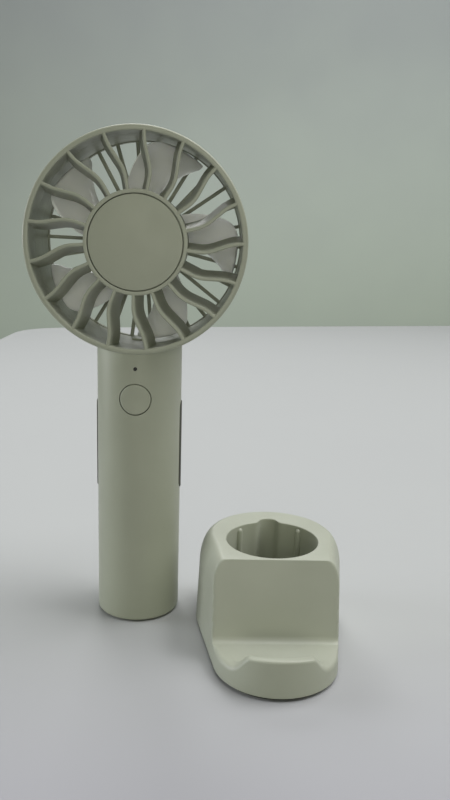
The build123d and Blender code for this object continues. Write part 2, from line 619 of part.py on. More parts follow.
# ---------------------------------------------------------------- button, switch and light
def button_cap():
    """Round key that follows the handle's curve, with its flange behind the wall."""
    cap = rod(BUTTON_RADIUS, -HANDLE_RADIUS - 1, FLANGE_BACK, 0, BUTTON_HEIGHT)
    cap &= disc(HANDLE_RADIUS, 0, HEAD_HEIGHT)
    front_edge = cap.edges().sort_by(Axis.Y)[:1]
    cap = fillet(front_edge, 0.25)
    cap += rod(BUTTON_FLANGE_RADIUS, FLANGE_FRONT, FLANGE_BACK, 0, BUTTON_HEIGHT)
    cap += rod(PLUNGER_RADIUS, FLANGE_BACK, PLUNGER_FRONT, 0, BUTTON_HEIGHT)
    return cap


def switch_plunger():
    """Moving stem of the switch."""
    return rod(PLUNGER_RADIUS, PLUNGER_FRONT, PLUNGER_REAR, 0, BUTTON_HEIGHT)


def switch_body():
    """Housing of the push switch, on the control board."""
    half = SWITCH_SIZE / 2
    body = block(SWITCH_SIZE, SWITCH_FRONT, BOARD_FACE, BUTTON_HEIGHT - half, BUTTON_HEIGHT + half)
    hole_end = SWITCH_FRONT + SWITCH_HOLE_DEPTH
    return body - rod(PLUNGER_RADIUS + SLIP, SWITCH_FRONT - 1, hole_end, 0, BUTTON_HEIGHT)


def light_pipe():
    """Clear pin that carries the status light to the front."""
    led_front = BOARD_FACE - LED_HEIGHT
    pipe = rod(LIGHT_PIPE_RADIUS, -HANDLE_RADIUS + LIGHT_RECESS, led_front, 0, LIGHT_HEIGHT)
    collar = -HANDLE_BORE + 2 * SLIP
    return pipe + rod(LIGHT_COLLAR_RADIUS, collar, collar + LIGHT_COLLAR_THICKNESS, 0, LIGHT_HEIGHT)


def status_led():
    """Light source on the control board."""
    half = LED_SIZE / 2
    return block(LED_SIZE, BOARD_FACE - LED_HEIGHT, BOARD_FACE, LIGHT_HEIGHT - half, LIGHT_HEIGHT + half)


def control_board():
    """Upright circuit board on its two posts."""
    board = block(BOARD_WIDTH, BOARD_FACE, BOARD_FACE + BOARD_THICKNESS, BOARD_BOTTOM, BOARD_TOP)
    for side in (-1, 1):
        board -= rod(BOARD_SCREW_RADIUS + SLIP, BOARD_FACE - 1, BOARD_FACE + BOARD_THICKNESS + 1,
                     side * BOARD_SCREW_X, BOARD_SCREW_HEIGHT)
    return board


def board_screws():
    """Two screws that hold the control board, as separate solids."""
    back = BOARD_FACE + BOARD_THICKNESS
    screws = []
    for side in (-1, 1):
        place = (side * BOARD_SCREW_X, BOARD_SCREW_HEIGHT)
        shank = rod(BOARD_SCREW_RADIUS - GLUE, back - BOARD_SCREW_LENGTH, back, *place)
        screws.append(shank + rod(BOARD_SCREW_HEAD, back, back + BOARD_SCREW_HEAD_HEIGHT, *place))
    return Compound(children=screws)


# ---------------------------------------------------------------- battery and charging
def battery_cell():
    """Round lithium cell with its raised cap."""
    cell = disc(CELL_RADIUS, CELL_BOTTOM, CELL_TOP - 0.8) + disc(CELL_RADIUS * 0.45, CELL_BOTTOM, CELL_TOP)
    return Pos(0, CELL_AXIS_Y, 0) * cell


def battery_cradle():
    """Trough round the front of the cell, with an end plate at each end."""
    axis = Pos(0, CELL_AXIS_Y, 0)
    trough = axis * ring(CRADLE_RADIUS, CRADLE_RADIUS - CRADLE_WALL, CRADLE_BOTTOM, CRADLE_TOP)
    trough &= block(FULL, -FULL, CELL_AXIS_Y + CELL_RADIUS * 0.3, 0, FULL)
    front = CELL_AXIS_Y - CRADLE_RADIUS
    for low in (CRADLE_BOTTOM, CRADLE_TOP - CRADLE_END):
        end = disc(HANDLE_BORE - 2 * SLIP, low, low + CRADLE_END)
        trough += end & block(FULL, front, FULL, 0, FULL)
    return trough


def battery_tabs():
    """Welded contact strips at the cell's two ends, as separate solids."""
    place = Pos(0, CELL_AXIS_Y, 0)
    half = TAB_WIDTH / 2
    low = place * block(TAB_WIDTH, -TAB_REACH, half, CELL_BOTTOM - TAB_THICKNESS, CELL_BOTTOM)
    high = place * block(TAB_WIDTH, -TAB_REACH, half, CELL_TOP, CELL_TOP + TAB_THICKNESS)
    return Compound(children=[low, high])


def charging_port():
    """Metal shell of the socket with the contact tongue inside."""
    body = port_outline(PORT_REAR - PORT_LENGTH, PORT_REAR)
    body -= port_outline(PORT_REAR - PORT_LENGTH + 1, PORT_REAR + 1, -PORT_WALL)
    half = PORT_TONGUE / 2
    tongue = block(PORT_WIDTH * 0.7, PORT_REAR - PORT_LENGTH + 0.5, PORT_REAR - 1,
                   PORT_HEIGHT - half, PORT_HEIGHT + half)
    return body + tongue


def charging_board():
    """Small flat board under the charging socket."""
    rear = sqrt((HANDLE_BORE - 2 * SLIP) ** 2 - (CHARGE_BOARD_WIDTH / 2) ** 2)
    return block(CHARGE_BOARD_WIDTH, rear - CHARGE_BOARD_LENGTH, rear,
                 CHARGE_BOARD_TOP - CHARGE_BOARD_THICKNESS, CHARGE_BOARD_TOP)


# ---------------------------------------------------------------- grips and bottom
def side_grip(turn):
    """Soft strip let into one side of the handle."""
    return Rot(0, 0, turn) * grip_blank(HANDLE_RADIUS + GRIP_PROUD, SLIP)


def base_cap():
    """Plug that closes the foot of the handle."""
    cap = disc(HANDLE_BORE - SLIP, HANDLE_BOTTOM, BASE_CAP_TOP)
    cap -= disc(FOOT_RADIUS + SLIP, 0, FOOT_THICKNESS)
    for side in (-1, 1):
        place = Pos(0, side * BASE_SCREW_Y, 0)
        cap -= place * disc(BASE_SCREW_RADIUS + SLIP, 0, BASE_CAP_TOP + 1)
        cap -= place * disc(BASE_SCREW_HEAD + SLIP, 0, FOOT_THICKNESS + BASE_SCREW_HEAD_HEIGHT)
    return cap


def base_screws():
    """Two screws that hold the base cap, as separate solids."""
    low = FOOT_THICKNESS
    screw = disc(BASE_SCREW_HEAD, low, low + BASE_SCREW_HEAD_HEIGHT)
    screw += disc(BASE_SCREW_RADIUS - GLUE, low, low + BASE_SCREW_LENGTH)
    return Compound(children=[Pos(0, side * BASE_SCREW_Y, 0) * screw for side in (-1, 1)])


def base_foot():
    """Rubber disc that the fan stands on."""
    return disc(FOOT_RADIUS, 0, FOOT_THICKNESS)


# ---------------------------------------------------------------- desk stand
def stand_plan(inset, height):
    """Outline of the stand at one height: two arcs and the two lines that touch both."""
    rear = REAR_ROUND - inset
    front = FRONT_ROUND - inset
    rear_y = REAR_ROUND_BACK
    front_y = -FRONT_ROUND_AHEAD
    lean = asin((REAR_ROUND - FRONT_ROUND) / (rear_y - front_y))
    across, along = cos(lean), -sin(lean)
    rear_right = (rear * across, rear_y + rear * along)
    front_right = (front * across, front_y + front * along)
    rear_left = (-rear_right[0], rear_right[1])
    front_left = (-front_right[0], front_right[1])
    outline = [ThreePointArc(rear_right, (0, rear_y + rear), rear_left),
               Line(rear_left, front_left),
               ThreePointArc(front_left, (0, front_y - front), front_right),
               Line(front_right, rear_right)]
    return Pos(0, 0, height) * make_face(outline)


def stand_form(inset, bottom, top):
    """The stand's outer form without its cuts, drawn in by inset: leaning walls, then the crown."""
    lower_top = top - CROWN_HEIGHT
    step = (lower_top - bottom) / WALL_SECTIONS
    walls = [stand_plan(inset + STAND_DRAFT * step * count, bottom + step * count)
             for count in range(WALL_SECTIONS)]
    lean = STAND_DRAFT * (lower_top - bottom)
    crown = [stand_plan(inset + lean + CROWN_DEPTH * (1 - cos(radians(turn))),
                        lower_top + CROWN_HEIGHT * sin(radians(turn)))
             for turn in CROWN_TURNS]
    return loft(walls + crown)


def rest_cut(offset):
    """Everything ahead of the telephone rest and above its ledge, moved back by offset."""
    slope = (REST_FOOT - REST_TOP) / (STAND_HEIGHT - LEDGE_HEIGHT)
    ledge = LEDGE_HEIGHT - offset
    foot = -REST_FOOT + offset - slope * offset
    rise = STAND_HEIGHT * 2 - ledge
    outline = Polyline((foot, ledge), (foot + slope * rise, ledge + rise),
                       (-FULL, ledge + rise), (-FULL, ledge), close=True)
    face = Plane.YZ * make_face(outline)
    return extrude(face, amount=FULL, both=True)


def lip_profile():
    """Raised middle of the front lip seen from ahead, carried back as a bar."""
    top = LIP_HEIGHT
    foot = LEDGE_HEIGHT - 1
    ends = [(-LIP_HALF_FOOT, foot + 1), (-LIP_HALF_TOP, top), (LIP_HALF_TOP, top), (LIP_HALF_FOOT, foot + 1)]
    rise = Spline(ends[0], ends[1], tangents=[(1, 0), (1, 0)])
    fall = Spline(ends[2], ends[3], tangents=[(1, 0), (1, 0)])
    under = Polyline(ends[3], (LIP_HALF_FOOT, foot), (-LIP_HALF_FOOT, foot), ends[0])
    face = Plane.XZ * make_face([rise, Line(ends[1], ends[2]), fall, under])
    return Pos(0, -FRONT_ROUND_AHEAD, 0) * extrude(face, amount=FULL)


def near(edges, y, z):
    """The straight edges whose middle lies at this y and z."""
    lines = edges.filter_by(GeomType.LINE)
    return lines.filter_by(lambda edge: abs(edge.center().Y - y) < SLIP and abs(edge.center().Z - z) < SLIP)


def rest_edges(form):
    """The two sides and the top of the leaning rest."""
    slope = (REST_FOOT - REST_TOP) / (STAND_HEIGHT - LEDGE_HEIGHT)

    def off(point):
        return abs(REST_FOOT - slope * (point.Z - LEDGE_HEIGHT) + point.Y)

    flat = [edge for edge in form.edges() if max(off(edge @ share) for share in (0, 0.5, 1)) < SLIP]
    return [edge for edge in flat if edge.center().Z > LEDGE_HEIGHT + SLIP]


def front_edge(form):
    """The long curved edge where the ledge runs out to the front wall."""
    level = [edge for edge in form.edges()
             if max(abs((edge @ share).Z - LEDGE_HEIGHT) for share in (0, 0.5, 1)) < SLIP]
    return [edge for edge in level if edge.center().Y < -FRONT_ROUND_AHEAD and edge.length > FRONT_ROUND]


def stand_outside():
    """The stand's outer form with its rest and ledge cut, and the mouth of the socket rounded."""
    form = stand_form(0, STAND_SKIRT, STAND_HEIGHT) - rest_cut(0)
    form = fillet(rest_edges(form), REST_ROUND)
    form = fillet(near(form.edges(), -REST_FOOT, LEDGE_HEIGHT), LEDGE_ROUND)
    form = fillet(front_edge(form), LEDGE_ROUND)
    form -= disc(SOCKET_RADIUS, SOCKET_FLOOR, STAND_HEIGHT + 1)
    mouth = form.edges().filter_by(GeomType.CIRCLE).sort_by(Axis.Z)[-1:]
    return fillet(mouth, SOCKET_RIM_ROUND)


def stand_lip():
    """Low wall round the front of the ledge, raised in the middle."""
    form = stand_form(0, STAND_SKIRT, STAND_HEIGHT)
    inside = stand_form(LIP_THICKNESS, STAND_SKIRT, STAND_HEIGHT)
    return (form - inside) & lip_profile()


def socket_tube():
    """Solid that the socket and its slot are cut from."""
    outer = SOCKET_RADIUS + SOCKET_TUBE_WALL
    low = SOCKET_FLOOR - SOCKET_FLOOR_THICKNESS
    slot_back = SOCKET_RADIUS + SLOT_DEPTH + SOCKET_TUBE_WALL
    slot_room = block(SLOT_WIDTH + 2 * SOCKET_TUBE_WALL, 0, slot_back, low, STAND_HEIGHT)
    return disc(outer, low, STAND_HEIGHT) + slot_room


def socket_slot():
    """Slot down the back of the socket, its far corners rounded."""
    slot = block(SLOT_WIDTH, 0, SOCKET_RADIUS + SLOT_DEPTH, SOCKET_FLOOR, STAND_HEIGHT + 1)
    corners = slot.edges().filter_by(Axis.Z).sort_by(Axis.Y)[-2:]
    return fillet(corners, SLOT_ROUND)


def socket_ribs():
    """Four upright ribs with round tops that centre the handle."""
    top = STAND_HEIGHT - RIB_DROP
    radius = SOCKET_RADIUS - RIB_PROUD + RIB_WIDTH / 2
    rib = Pos(0, radius, 0) * disc(RIB_WIDTH / 2, SOCKET_FLOOR - 1, top - RIB_WIDTH / 2)
    rib += Pos(0, radius, top - RIB_WIDTH / 2) * Sphere(RIB_WIDTH / 2)
    rib += block(RIB_WIDTH, radius, SOCKET_RADIUS + 0.8, SOCKET_FLOOR - 1, top - RIB_WIDTH / 2)
    turns = (RIB_ANGLE, -RIB_ANGLE, 180 - RIB_ANGLE, 180 + RIB_ANGLE)
    return [Rot(0, 0, turn) * rib for turn in turns]


def post_places():
    """Centres of the four screw posts under the stand."""
    from_edge = STAND_WALL + STAND_POST_RADIUS - POST_SINK
    reach_rear = REAR_ROUND - from_edge
    reach_front = FRONT_ROUND - from_edge
    half = sqrt(0.5)
    return [(side * reach_rear * half, REAR_ROUND_BACK + reach_rear * half) for side in (-1, 1)] + [
        (side * reach_front * half, -FRONT_ROUND_AHEAD - reach_front * half) for side in (-1, 1)]


def stand_shell():
    """Hollow moulding of the stand, open underneath, with the handle's socket."""
    hollow = stand_form(STAND_WALL, STAND_SKIRT - 1, STAND_HEIGHT - STAND_WALL)
    hollow -= rest_cut(STAND_WALL)
    hollow -= socket_tube()
    for x, y in post_places():
        hollow -= Pos(x, y, 0) * disc(STAND_POST_RADIUS, STAND_PLATE_TOP, LEDGE_HEIGHT + 2)
    shell = stand_outside() - hollow + stand_lip()
    shell -= socket_slot()
    for rib in socket_ribs():
        shell += rib
    for x, y in post_places():
        shell -= Pos(x, y, 0) * disc(STAND_SCREW_RADIUS, 0, STAND_SKIRT + STAND_SCREW_LENGTH + 0.5)
    return STAND * shell


def stand_base_plate():
    """Flat plate that closes the stand from below."""
    inset = STAND_WALL + SLIP + STAND_DRAFT * STAND_PLATE_THICKNESS
    plate = extrude(stand_plan(inset, STAND_SKIRT), amount=STAND_PLATE_THICKNESS)
    for x, y in post_places():
        plate -= Pos(x, y, 0) * disc(STAND_SCREW_RADIUS + SLIP, 0, FULL)
        plate -= Pos(x, y, 0) * disc(STAND_SCREW_HEAD + SLIP, 0, STAND_SKIRT + STAND_SCREW_HEAD_HEIGHT)
    return STAND * plate


def stand_screws():
    """Four screws of the base plate, as separate solids."""
    screw = disc(STAND_SCREW_HEAD, STAND_SKIRT, STAND_SKIRT + STAND_SCREW_HEAD_HEIGHT)
    screw += disc(STAND_SCREW_RADIUS - GLUE, STAND_SKIRT, STAND_SKIRT + STAND_SCREW_LENGTH)
    return Compound(children=[STAND * Pos(x, y, 0) * screw for x, y in post_places()])


def stand_foot():
    """Rubber sheet under the stand, a little smaller than the shell."""
    return STAND * extrude(stand_plan(STAND_FOOT_INSET, 0), amount=STAND_SKIRT)


# ---------------------------------------------------------------- all pieces
def pieces():
    """Every separate piece of the fan and its stand, by name."""
    return {
        "front_shell": front_shell(),
        "rear_shell": rear_shell(),
        "front_grille": front_grille(),
        "centre_cap": centre_cap(),
        "rear_grille": rear_grille(),
        "rear_hub_cap": rear_hub_cap(),
        "lead_cover": lead_cover(),
        "impeller": impeller(),
        "rotor_yoke": rotor_yoke(),
        "magnet_ring": magnet_ring(),
        "motor_shaft": motor_shaft(),
        "shaft_clip": shaft_clip(),
        "front_bearing": bearing(BOSS_FRONT),
        "rear_bearing": bearing(PLATE_FRONT - BEARING_WIDTH),
        "stator_core": stator_core(),
        "stator_windings": stator_windings(),
        "motor_board": motor_board(),
        "button_cap": button_cap(),
        "switch_plunger": switch_plunger(),
        "switch_body": switch_body(),
        "light_pipe": light_pipe(),
        "status_led": status_led(),
        "control_board": control_board(),
        "board_screws": board_screws(),
        "battery_cell": battery_cell(),
        "battery_cradle": battery_cradle(),
        "battery_tabs": battery_tabs(),
        "charging_port": charging_port(),
        "charging_board": charging_board(),
        "side_grip_right": side_grip(0),
        "side_grip_left": side_grip(180),
        "base_cap": base_cap(),
        "base_screws": base_screws(),
        "base_foot": base_foot(),
        "stand_shell": stand_shell(),
        "stand_base_plate": stand_base_plate(),
        "stand_screws": stand_screws(),
        "stand_foot": stand_foot(),
    }


os.makedirs("parts", exist_ok=True)
for name, piece in pieces().items():
    export_step(piece, f"parts/{name}.step")
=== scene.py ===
"""Looks of a pocket fan and its desk stand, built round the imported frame.

Lengths in the dataclasses are millimetres in the frame's own axes: +Z up, the fan faces -Y, and the
handle stands on the origin. Meshes are turned into metres when they are made. A place in the head is
given by a radius, a clock angle in degrees clockwise as seen from the front, and a depth along Y.
"""

from __future__ import annotations

import logging
from dataclasses import dataclass, field
from enum import Enum

import bmesh
import bpy
import numpy as np
from mathutils import Matrix, Vector

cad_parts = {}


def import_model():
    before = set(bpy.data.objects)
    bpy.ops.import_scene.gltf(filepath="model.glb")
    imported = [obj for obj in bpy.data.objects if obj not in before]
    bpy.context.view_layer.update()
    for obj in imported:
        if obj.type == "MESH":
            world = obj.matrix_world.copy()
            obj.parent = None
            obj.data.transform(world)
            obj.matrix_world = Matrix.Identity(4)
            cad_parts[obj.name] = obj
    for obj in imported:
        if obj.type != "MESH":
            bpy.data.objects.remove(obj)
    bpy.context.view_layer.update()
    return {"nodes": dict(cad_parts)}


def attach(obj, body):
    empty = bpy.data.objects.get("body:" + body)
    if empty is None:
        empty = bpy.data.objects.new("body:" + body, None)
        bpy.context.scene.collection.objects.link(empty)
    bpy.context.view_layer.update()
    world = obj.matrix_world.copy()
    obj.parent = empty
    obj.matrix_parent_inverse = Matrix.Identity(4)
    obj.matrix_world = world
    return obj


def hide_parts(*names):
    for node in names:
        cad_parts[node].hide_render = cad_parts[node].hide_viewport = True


MM = 0.001
HEAD_HEIGHT = 167.5
HANDLE_RADIUS = 18.5
PARTING_DEPTH = 5.0
ON_AXIS = 0.01
FAR = 1e3
SIDE_SHARE = 0.48
NEARLY_ZERO = 1e-9
MERGE_DISTANCE = 0.004
LEAST_EDGE = 0.002
LOG = logging.getLogger("fan")

Array = np.ndarray
Colour = tuple[float, float, float]
Material = bpy.types.Material
Piece = bpy.types.Object
Socket = bpy.types.NodeSocket
Tree = bpy.types.NodeTree


# ---------------------------------------------------------------- shapes
def rounded(corners: Array, radii: Array, steps: int = 5, closed: bool = True) -> Array:
    """Rounds the corners of polylines: B(t) = (1-t)^2 A + 2t(1-t) P + t^2 C at each corner P.

    A and C lie on the corner's two sides at its radius from P, or at SIDE_SHARE of the shorter side.

    Args:
        corners: array (..., K, 2) of corner points.
        radii: array that broadcasts to (..., K).
        steps: points along each corner's curve.
        closed: whether the last corner joins the first one.

    Returns:
        Array (..., K * steps, 2).
    """
    before = np.roll(corners, 1, axis=-2) - corners
    after = np.roll(corners, -1, axis=-2) - corners
    if not closed:
        before[..., 0, :] = 0
        after[..., -1, :] = 0
    long_before = np.linalg.norm(before, axis=-1)
    long_after = np.linalg.norm(after, axis=-1)
    shorter = np.minimum(long_before, long_after)
    reach = np.minimum(np.broadcast_to(radii, shorter.shape), SIDE_SHARE * shorter)
    start = corners + before * (reach / np.maximum(long_before, NEARLY_ZERO))[..., None]
    end = corners + after * (reach / np.maximum(long_after, NEARLY_ZERO))[..., None]
    t = np.linspace(0, 1, steps)[:, None]
    curve = ((1 - t) ** 2 * start[..., None, :] + 2 * t * (1 - t) * corners[..., None, :]
             + t ** 2 * end[..., None, :])
    return curve.reshape(*corners.shape[:-2], -1, 2)


def even_line(line: Array, count: int) -> Array:
    """Points at even steps of length along a plane polyline.

    Args:
        line: array (N, 2), repeated points allowed.
        count: how many points to make.

    Returns:
        Array (count, 2).
    """
    run = np.concatenate([[0.0], np.cumsum(np.linalg.norm(np.diff(line, axis=0), axis=-1))])
    even = np.linspace(0, run[-1], count)
    return np.stack([np.interp(even, run, line[:, k]) for k in (0, 1)], axis=-1)


def quarter(count: int) -> Array:
    """Even angles over a quarter turn, in radians."""
    return np.linspace(0, np.pi / 2, count)


def smooth_step(share: Array) -> Array:
    """Soft rise from 0 to 1: 3 s^2 - 2 s^3."""
    return share ** 2 * (3 - 2 * share)


def smooth_min(a: Array, b: Array, blend: float) -> Array:
    """Lesser of two values, blended: min(a, b) - h^2 k / 4 with h = max(0, 1 - |a - b| / k)."""
    return np.minimum(a, b) - np.maximum(0, 1 - np.abs(a - b) / blend) ** 2 * blend / 4


def in_head(radius: Array, angle: Array, depth: Array) -> Array:
    """Points of the head: x = r sin a, y = depth, z = head height + r cos a.

    Args:
        radius: distance from the head's axis.
        angle: clock angle in degrees.
        depth: place along Y.

    Returns:
        Array of points, one more axis than the arguments broadcast to.
    """
    turn = np.radians(angle)
    parts = np.broadcast_arrays(radius * np.sin(turn), depth, HEAD_HEIGHT + radius * np.cos(turn))
    return np.stack(parts, axis=-1)


@dataclass
class Skin:
    """Grids of points that are gathered into one mesh."""

    points: list[Array] = field(default_factory=list)
    faces: list[Array] = field(default_factory=list)
    count: int = 0

    def grid(self, points: Array, wrap_u: bool = False, wrap_v: bool = False) -> None:
        """Adds the quads of a grid, closed along u or v where asked.

        Args:
            points: array (U, V, 3).
            wrap_u: whether the last row joins the first one.
            wrap_v: whether the last column joins the first one.
        """
        rows, columns = points.shape[:2]
        index = np.arange(rows * columns).reshape(rows, columns) + self.count
        if wrap_u:
            index = np.concatenate([index, index[:1]], axis=0)
        if wrap_v:
            index = np.concatenate([index, index[:, :1]], axis=1)
        quads = np.stack([index[:-1, :-1], index[1:, :-1], index[1:, 1:], index[:-1, 1:]], axis=-1)
        self.points.append(points.reshape(-1, 3))
        self.faces.append(quads.reshape(-1, 4))
        self.count += rows * columns

    def tube(self, points: Array) -> None:
        """Adds a grid closed along v, with its two end loops drawn to their middles."""
        ends = [np.broadcast_to(points[k].mean(axis=0), points[k].shape)[None] for k in (0, -1)]
        self.grid(np.concatenate([ends[0], points, ends[1]]), wrap_v=True)

    def lathe(self, corners: list[tuple[float, float]], radii: list[float], steps: int, segments: int) -> None:
        """Turns a closed section round the head's axis.

        Args:
            corners: the section's corners as (radius, depth).
            radii: how far each corner is rounded.
            steps: points along each corner's curve.
            segments: steps round the axis.
        """
        profile = rounded(np.array(corners), np.array(radii), steps)
        angle = np.linspace(0, 360, segments, endpoint=False)[:, None]
        self.grid(in_head(profile[None, :, 0], angle, profile[None, :, 1]), wrap_u=True, wrap_v=True)

    def to_object(self, name: str, sharp: float = 40.0) -> Piece:
        """Makes the object, with doubles merged, normals outwards and edges sharp past an angle.

        Args:
            name: the piece's name.
            sharp: angle in degrees past which an edge stays sharp.

        Returns:
            The object, at the origin, linked to the scene.
        """
        mesh = bpy.data.meshes.new(name)
        mesh.from_pydata(np.concatenate(self.points) * MM, [], np.concatenate(self.faces))
        shape = bmesh.new()
        shape.from_mesh(mesh)
        bmesh.ops.remove_doubles(shape, verts=shape.verts, dist=MERGE_DISTANCE * MM)
        bmesh.ops.dissolve_degenerate(shape, dist=LEAST_EDGE * MM, edges=shape.edges)
        bmesh.ops.recalc_face_normals(shape, faces=shape.faces)
        shape.to_mesh(mesh)
        shape.free()
        mesh.shade_smooth()
        mesh.set_sharp_from_angle(angle=np.radians(sharp))
        made = bpy.data.objects.new(name, mesh)
        bpy.context.scene.collection.objects.link(made)
        return made


def place(made: Piece, body: str, slot: str, finish: Material, *nodes: str) -> None:
    """Rides a new piece on its body, gives it its material, and puts it in the place of CAD nodes.

    Args:
        made: the piece.
        body: the CAD body it moves with.
        slot: the record's material slot; not used.
        finish: its material.
        nodes: the CAD nodes it stands for.
    """
    made.data.materials.clear()
    made.data.materials.append(finish)
    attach(made, body)
    if nodes:
        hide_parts(*nodes)
    LOG.info("piece %s: %d faces", made.name, len(made.data.polygons))


# ---------------------------------------------------------------- shader node groups
def group_tree(name: str, inputs: dict[str, float], outputs: dict[str, str]) -> Tree:
    """Starts a shader node group with a vector input and named value inputs.

    Args:
        name: the group's name.
        inputs: value inputs and their defaults.
        outputs: output names and their socket types.

    Returns:
        The group's tree, with its input and output nodes in place.
    """
    tree = bpy.data.node_groups.new(name, "ShaderNodeTree")
    tree.interface.new_socket("Place", in_out="INPUT", socket_type="NodeSocketVector")
    for label, value in inputs.items():
        socket = tree.interface.new_socket(label, in_out="INPUT", socket_type="NodeSocketFloat")
        socket.default_value = value
    for label, kind in outputs.items():
        tree.interface.new_socket(label, in_out="OUTPUT", socket_type=kind)
    tree.nodes.new("NodeGroupInput").name = "In"
    tree.nodes.new("NodeGroupOutput").name = "Out"
    return tree


def add_node(tree: Tree, kind: str, inputs: dict[str | int, object], **settings: object) -> bpy.types.Node:
    """Adds a shader node, makes its settings, and then links or sets its inputs.

    Args:
        tree: the tree that gets the node.
        kind: the node's type, without the word ShaderNode.
        inputs: a socket or a value for each input, by label or number.
        settings: the node's own settings by name.

    Returns:
        The node.
    """
    node = tree.nodes.new("ShaderNode" + kind)
    for name, value in settings.items():
        setattr(node, name, value)
    for label, value in inputs.items():
        if isinstance(value, Socket):
            tree.links.new(value, node.inputs[label])
        else:
            node.inputs[label].default_value = value
    return node


def math_node(tree: Tree, operation: str, a: object, b: object = 0.0, clamp: bool = False) -> Socket:
    """Adds a Math node whose inputs are sockets or numbers, and returns its output."""
    return add_node(tree, "Math", {0: a, 1: b}, operation=operation, use_clamp=clamp).outputs[0]


def noise_node(tree: Tree, where: Socket, scale: object, detail: float = 2.0, roughness: float = 0.5) -> Socket:
    """Adds a Noise Texture read at a place, and returns its value."""
    inputs = {"Vector": where, "Scale": scale, "Detail": detail, "Roughness": roughness}
    return add_node(tree, "TexNoise", inputs).outputs["Fac"]


def range_node(tree: Tree, value: Socket, low: float, high: float, to_low: float = 0.0,
               to_high: float = 1.0) -> Socket:
    """Adds a clamped Map Range and returns its result."""
    inputs = {"Value": value, "From Min": low, "From Max": high, "To Min": to_low, "To Max": to_high}
    return add_node(tree, "MapRange", inputs).outputs["Result"]


def axis_node(tree: Tree, vector: Socket, axis: str) -> Socket:
    """Adds a Separate XYZ node and returns one of its parts."""
    return add_node(tree, "SeparateXYZ", {0: vector}).outputs[axis]


def grain_group() -> Tree:
    """Spark-eroded grain of a mould: a fine height, and a slow mottle of the surface.

    Returns:
        The group's tree.
    """
    tree = group_tree("Moulded grain", {"Grains per metre": 5000.0},
                      {"Height": "NodeSocketFloat", "Mottle": "NodeSocketFloat"})
    source, out = tree.nodes["In"].outputs, tree.nodes["Out"].inputs
    fine = noise_node(tree, source["Place"], source["Grains per metre"], 3.0, 0.6)
    coarse = noise_node(tree, source["Place"], 900.0, 2.0)
    tree.links.new(math_node(tree, "ADD", fine, math_node(tree, "MULTIPLY", coarse, 0.35)), out["Height"])
    slow = noise_node(tree, source["Place"], 38.0, 4.0, 0.55)
    tree.links.new(range_node(tree, slow, 0.3, 0.7), out["Mottle"])
    return tree


def dust_group() -> Tree:
    """Dust that settles on faces that look up: normal z above a threshold, broken up by specks.

    Returns:
        The group's tree.
    """
    tree = group_tree("Settled dust", {"Amount": 0.3}, {"Mask": "NodeSocketFloat"})
    source, out = tree.nodes["In"].outputs, tree.nodes["Out"].inputs
    normal = tree.nodes.new("ShaderNodeNewGeometry").outputs["Normal"]
    up = range_node(tree, axis_node(tree, normal, "Z"), 0.35, 0.95)
    specks = range_node(tree, noise_node(tree, source["Place"], 1400.0, 3.0, 0.7), 0.56, 0.68)
    film = range_node(tree, noise_node(tree, source["Place"], 90.0, 3.0), 0.3, 0.75, 0.15, 0.6)
    both = math_node(tree, "MAXIMUM", specks, film)
    tree.links.new(math_node(tree, "MULTIPLY", math_node(tree, "MULTIPLY", both, up), source["Amount"],
                             clamp=True), out["Mask"])
    return tree


def touch_group() -> Tree:
    """Polish left by hands: broad soft patches, where the surface is a little smoother.

    Returns:
        The group's tree.
    """
    tree = group_tree("Hand polish", {"Patches per metre": 60.0}, {"Mask": "NodeSocketFloat"})
    source, out = tree.nodes["In"].outputs, tree.nodes["Out"].inputs
    broad = noise_node(tree, source["Place"], source["Patches per metre"], 2.0, 0.5)
    marks = noise_node(tree, source["Place"], 420.0, 2.0, 0.5)
    joined = math_node(tree, "ADD", math_node(tree, "MULTIPLY", broad, 0.75),
                       math_node(tree, "MULTIPLY", marks, 0.25))
    tree.links.new(range_node(tree, joined, 0.4, 0.62), out["Mask"])
    return tree


class Shared:
    """The node groups that the finishes share, each made once."""

    def __init__(self) -> None:
        """Builds the groups."""
        self.grain = grain_group()
        self.dust = dust_group()
        self.touch = touch_group()


# ---------------------------------------------------------------- finishes
COAT_ROUGHNESS = 0.12
POLISH_CHANGE = 0.05
DUST_ROUGHNESS = 0.25
DUST_COLOUR = (0.6, 0.28)
PATTERN_DARK = 0.55
PARTING_LINE = (0.08, 0.22)
SCATTER_DEPTH = 0.005
SCATTER_COLOUR = (1.0, 1.0, 0.9)
TOUCH_PATCHES = 60.0


class Pattern(Enum):
    """What a finish shows besides its grain."""

    PLAIN = "plain"
    BRUSHED = "brushed"
    WOUND = "wound"
    LAMINATED = "laminated"
    TRACKS = "tracks"
    DIMPLED = "dimpled"
    PARTED = "parted"


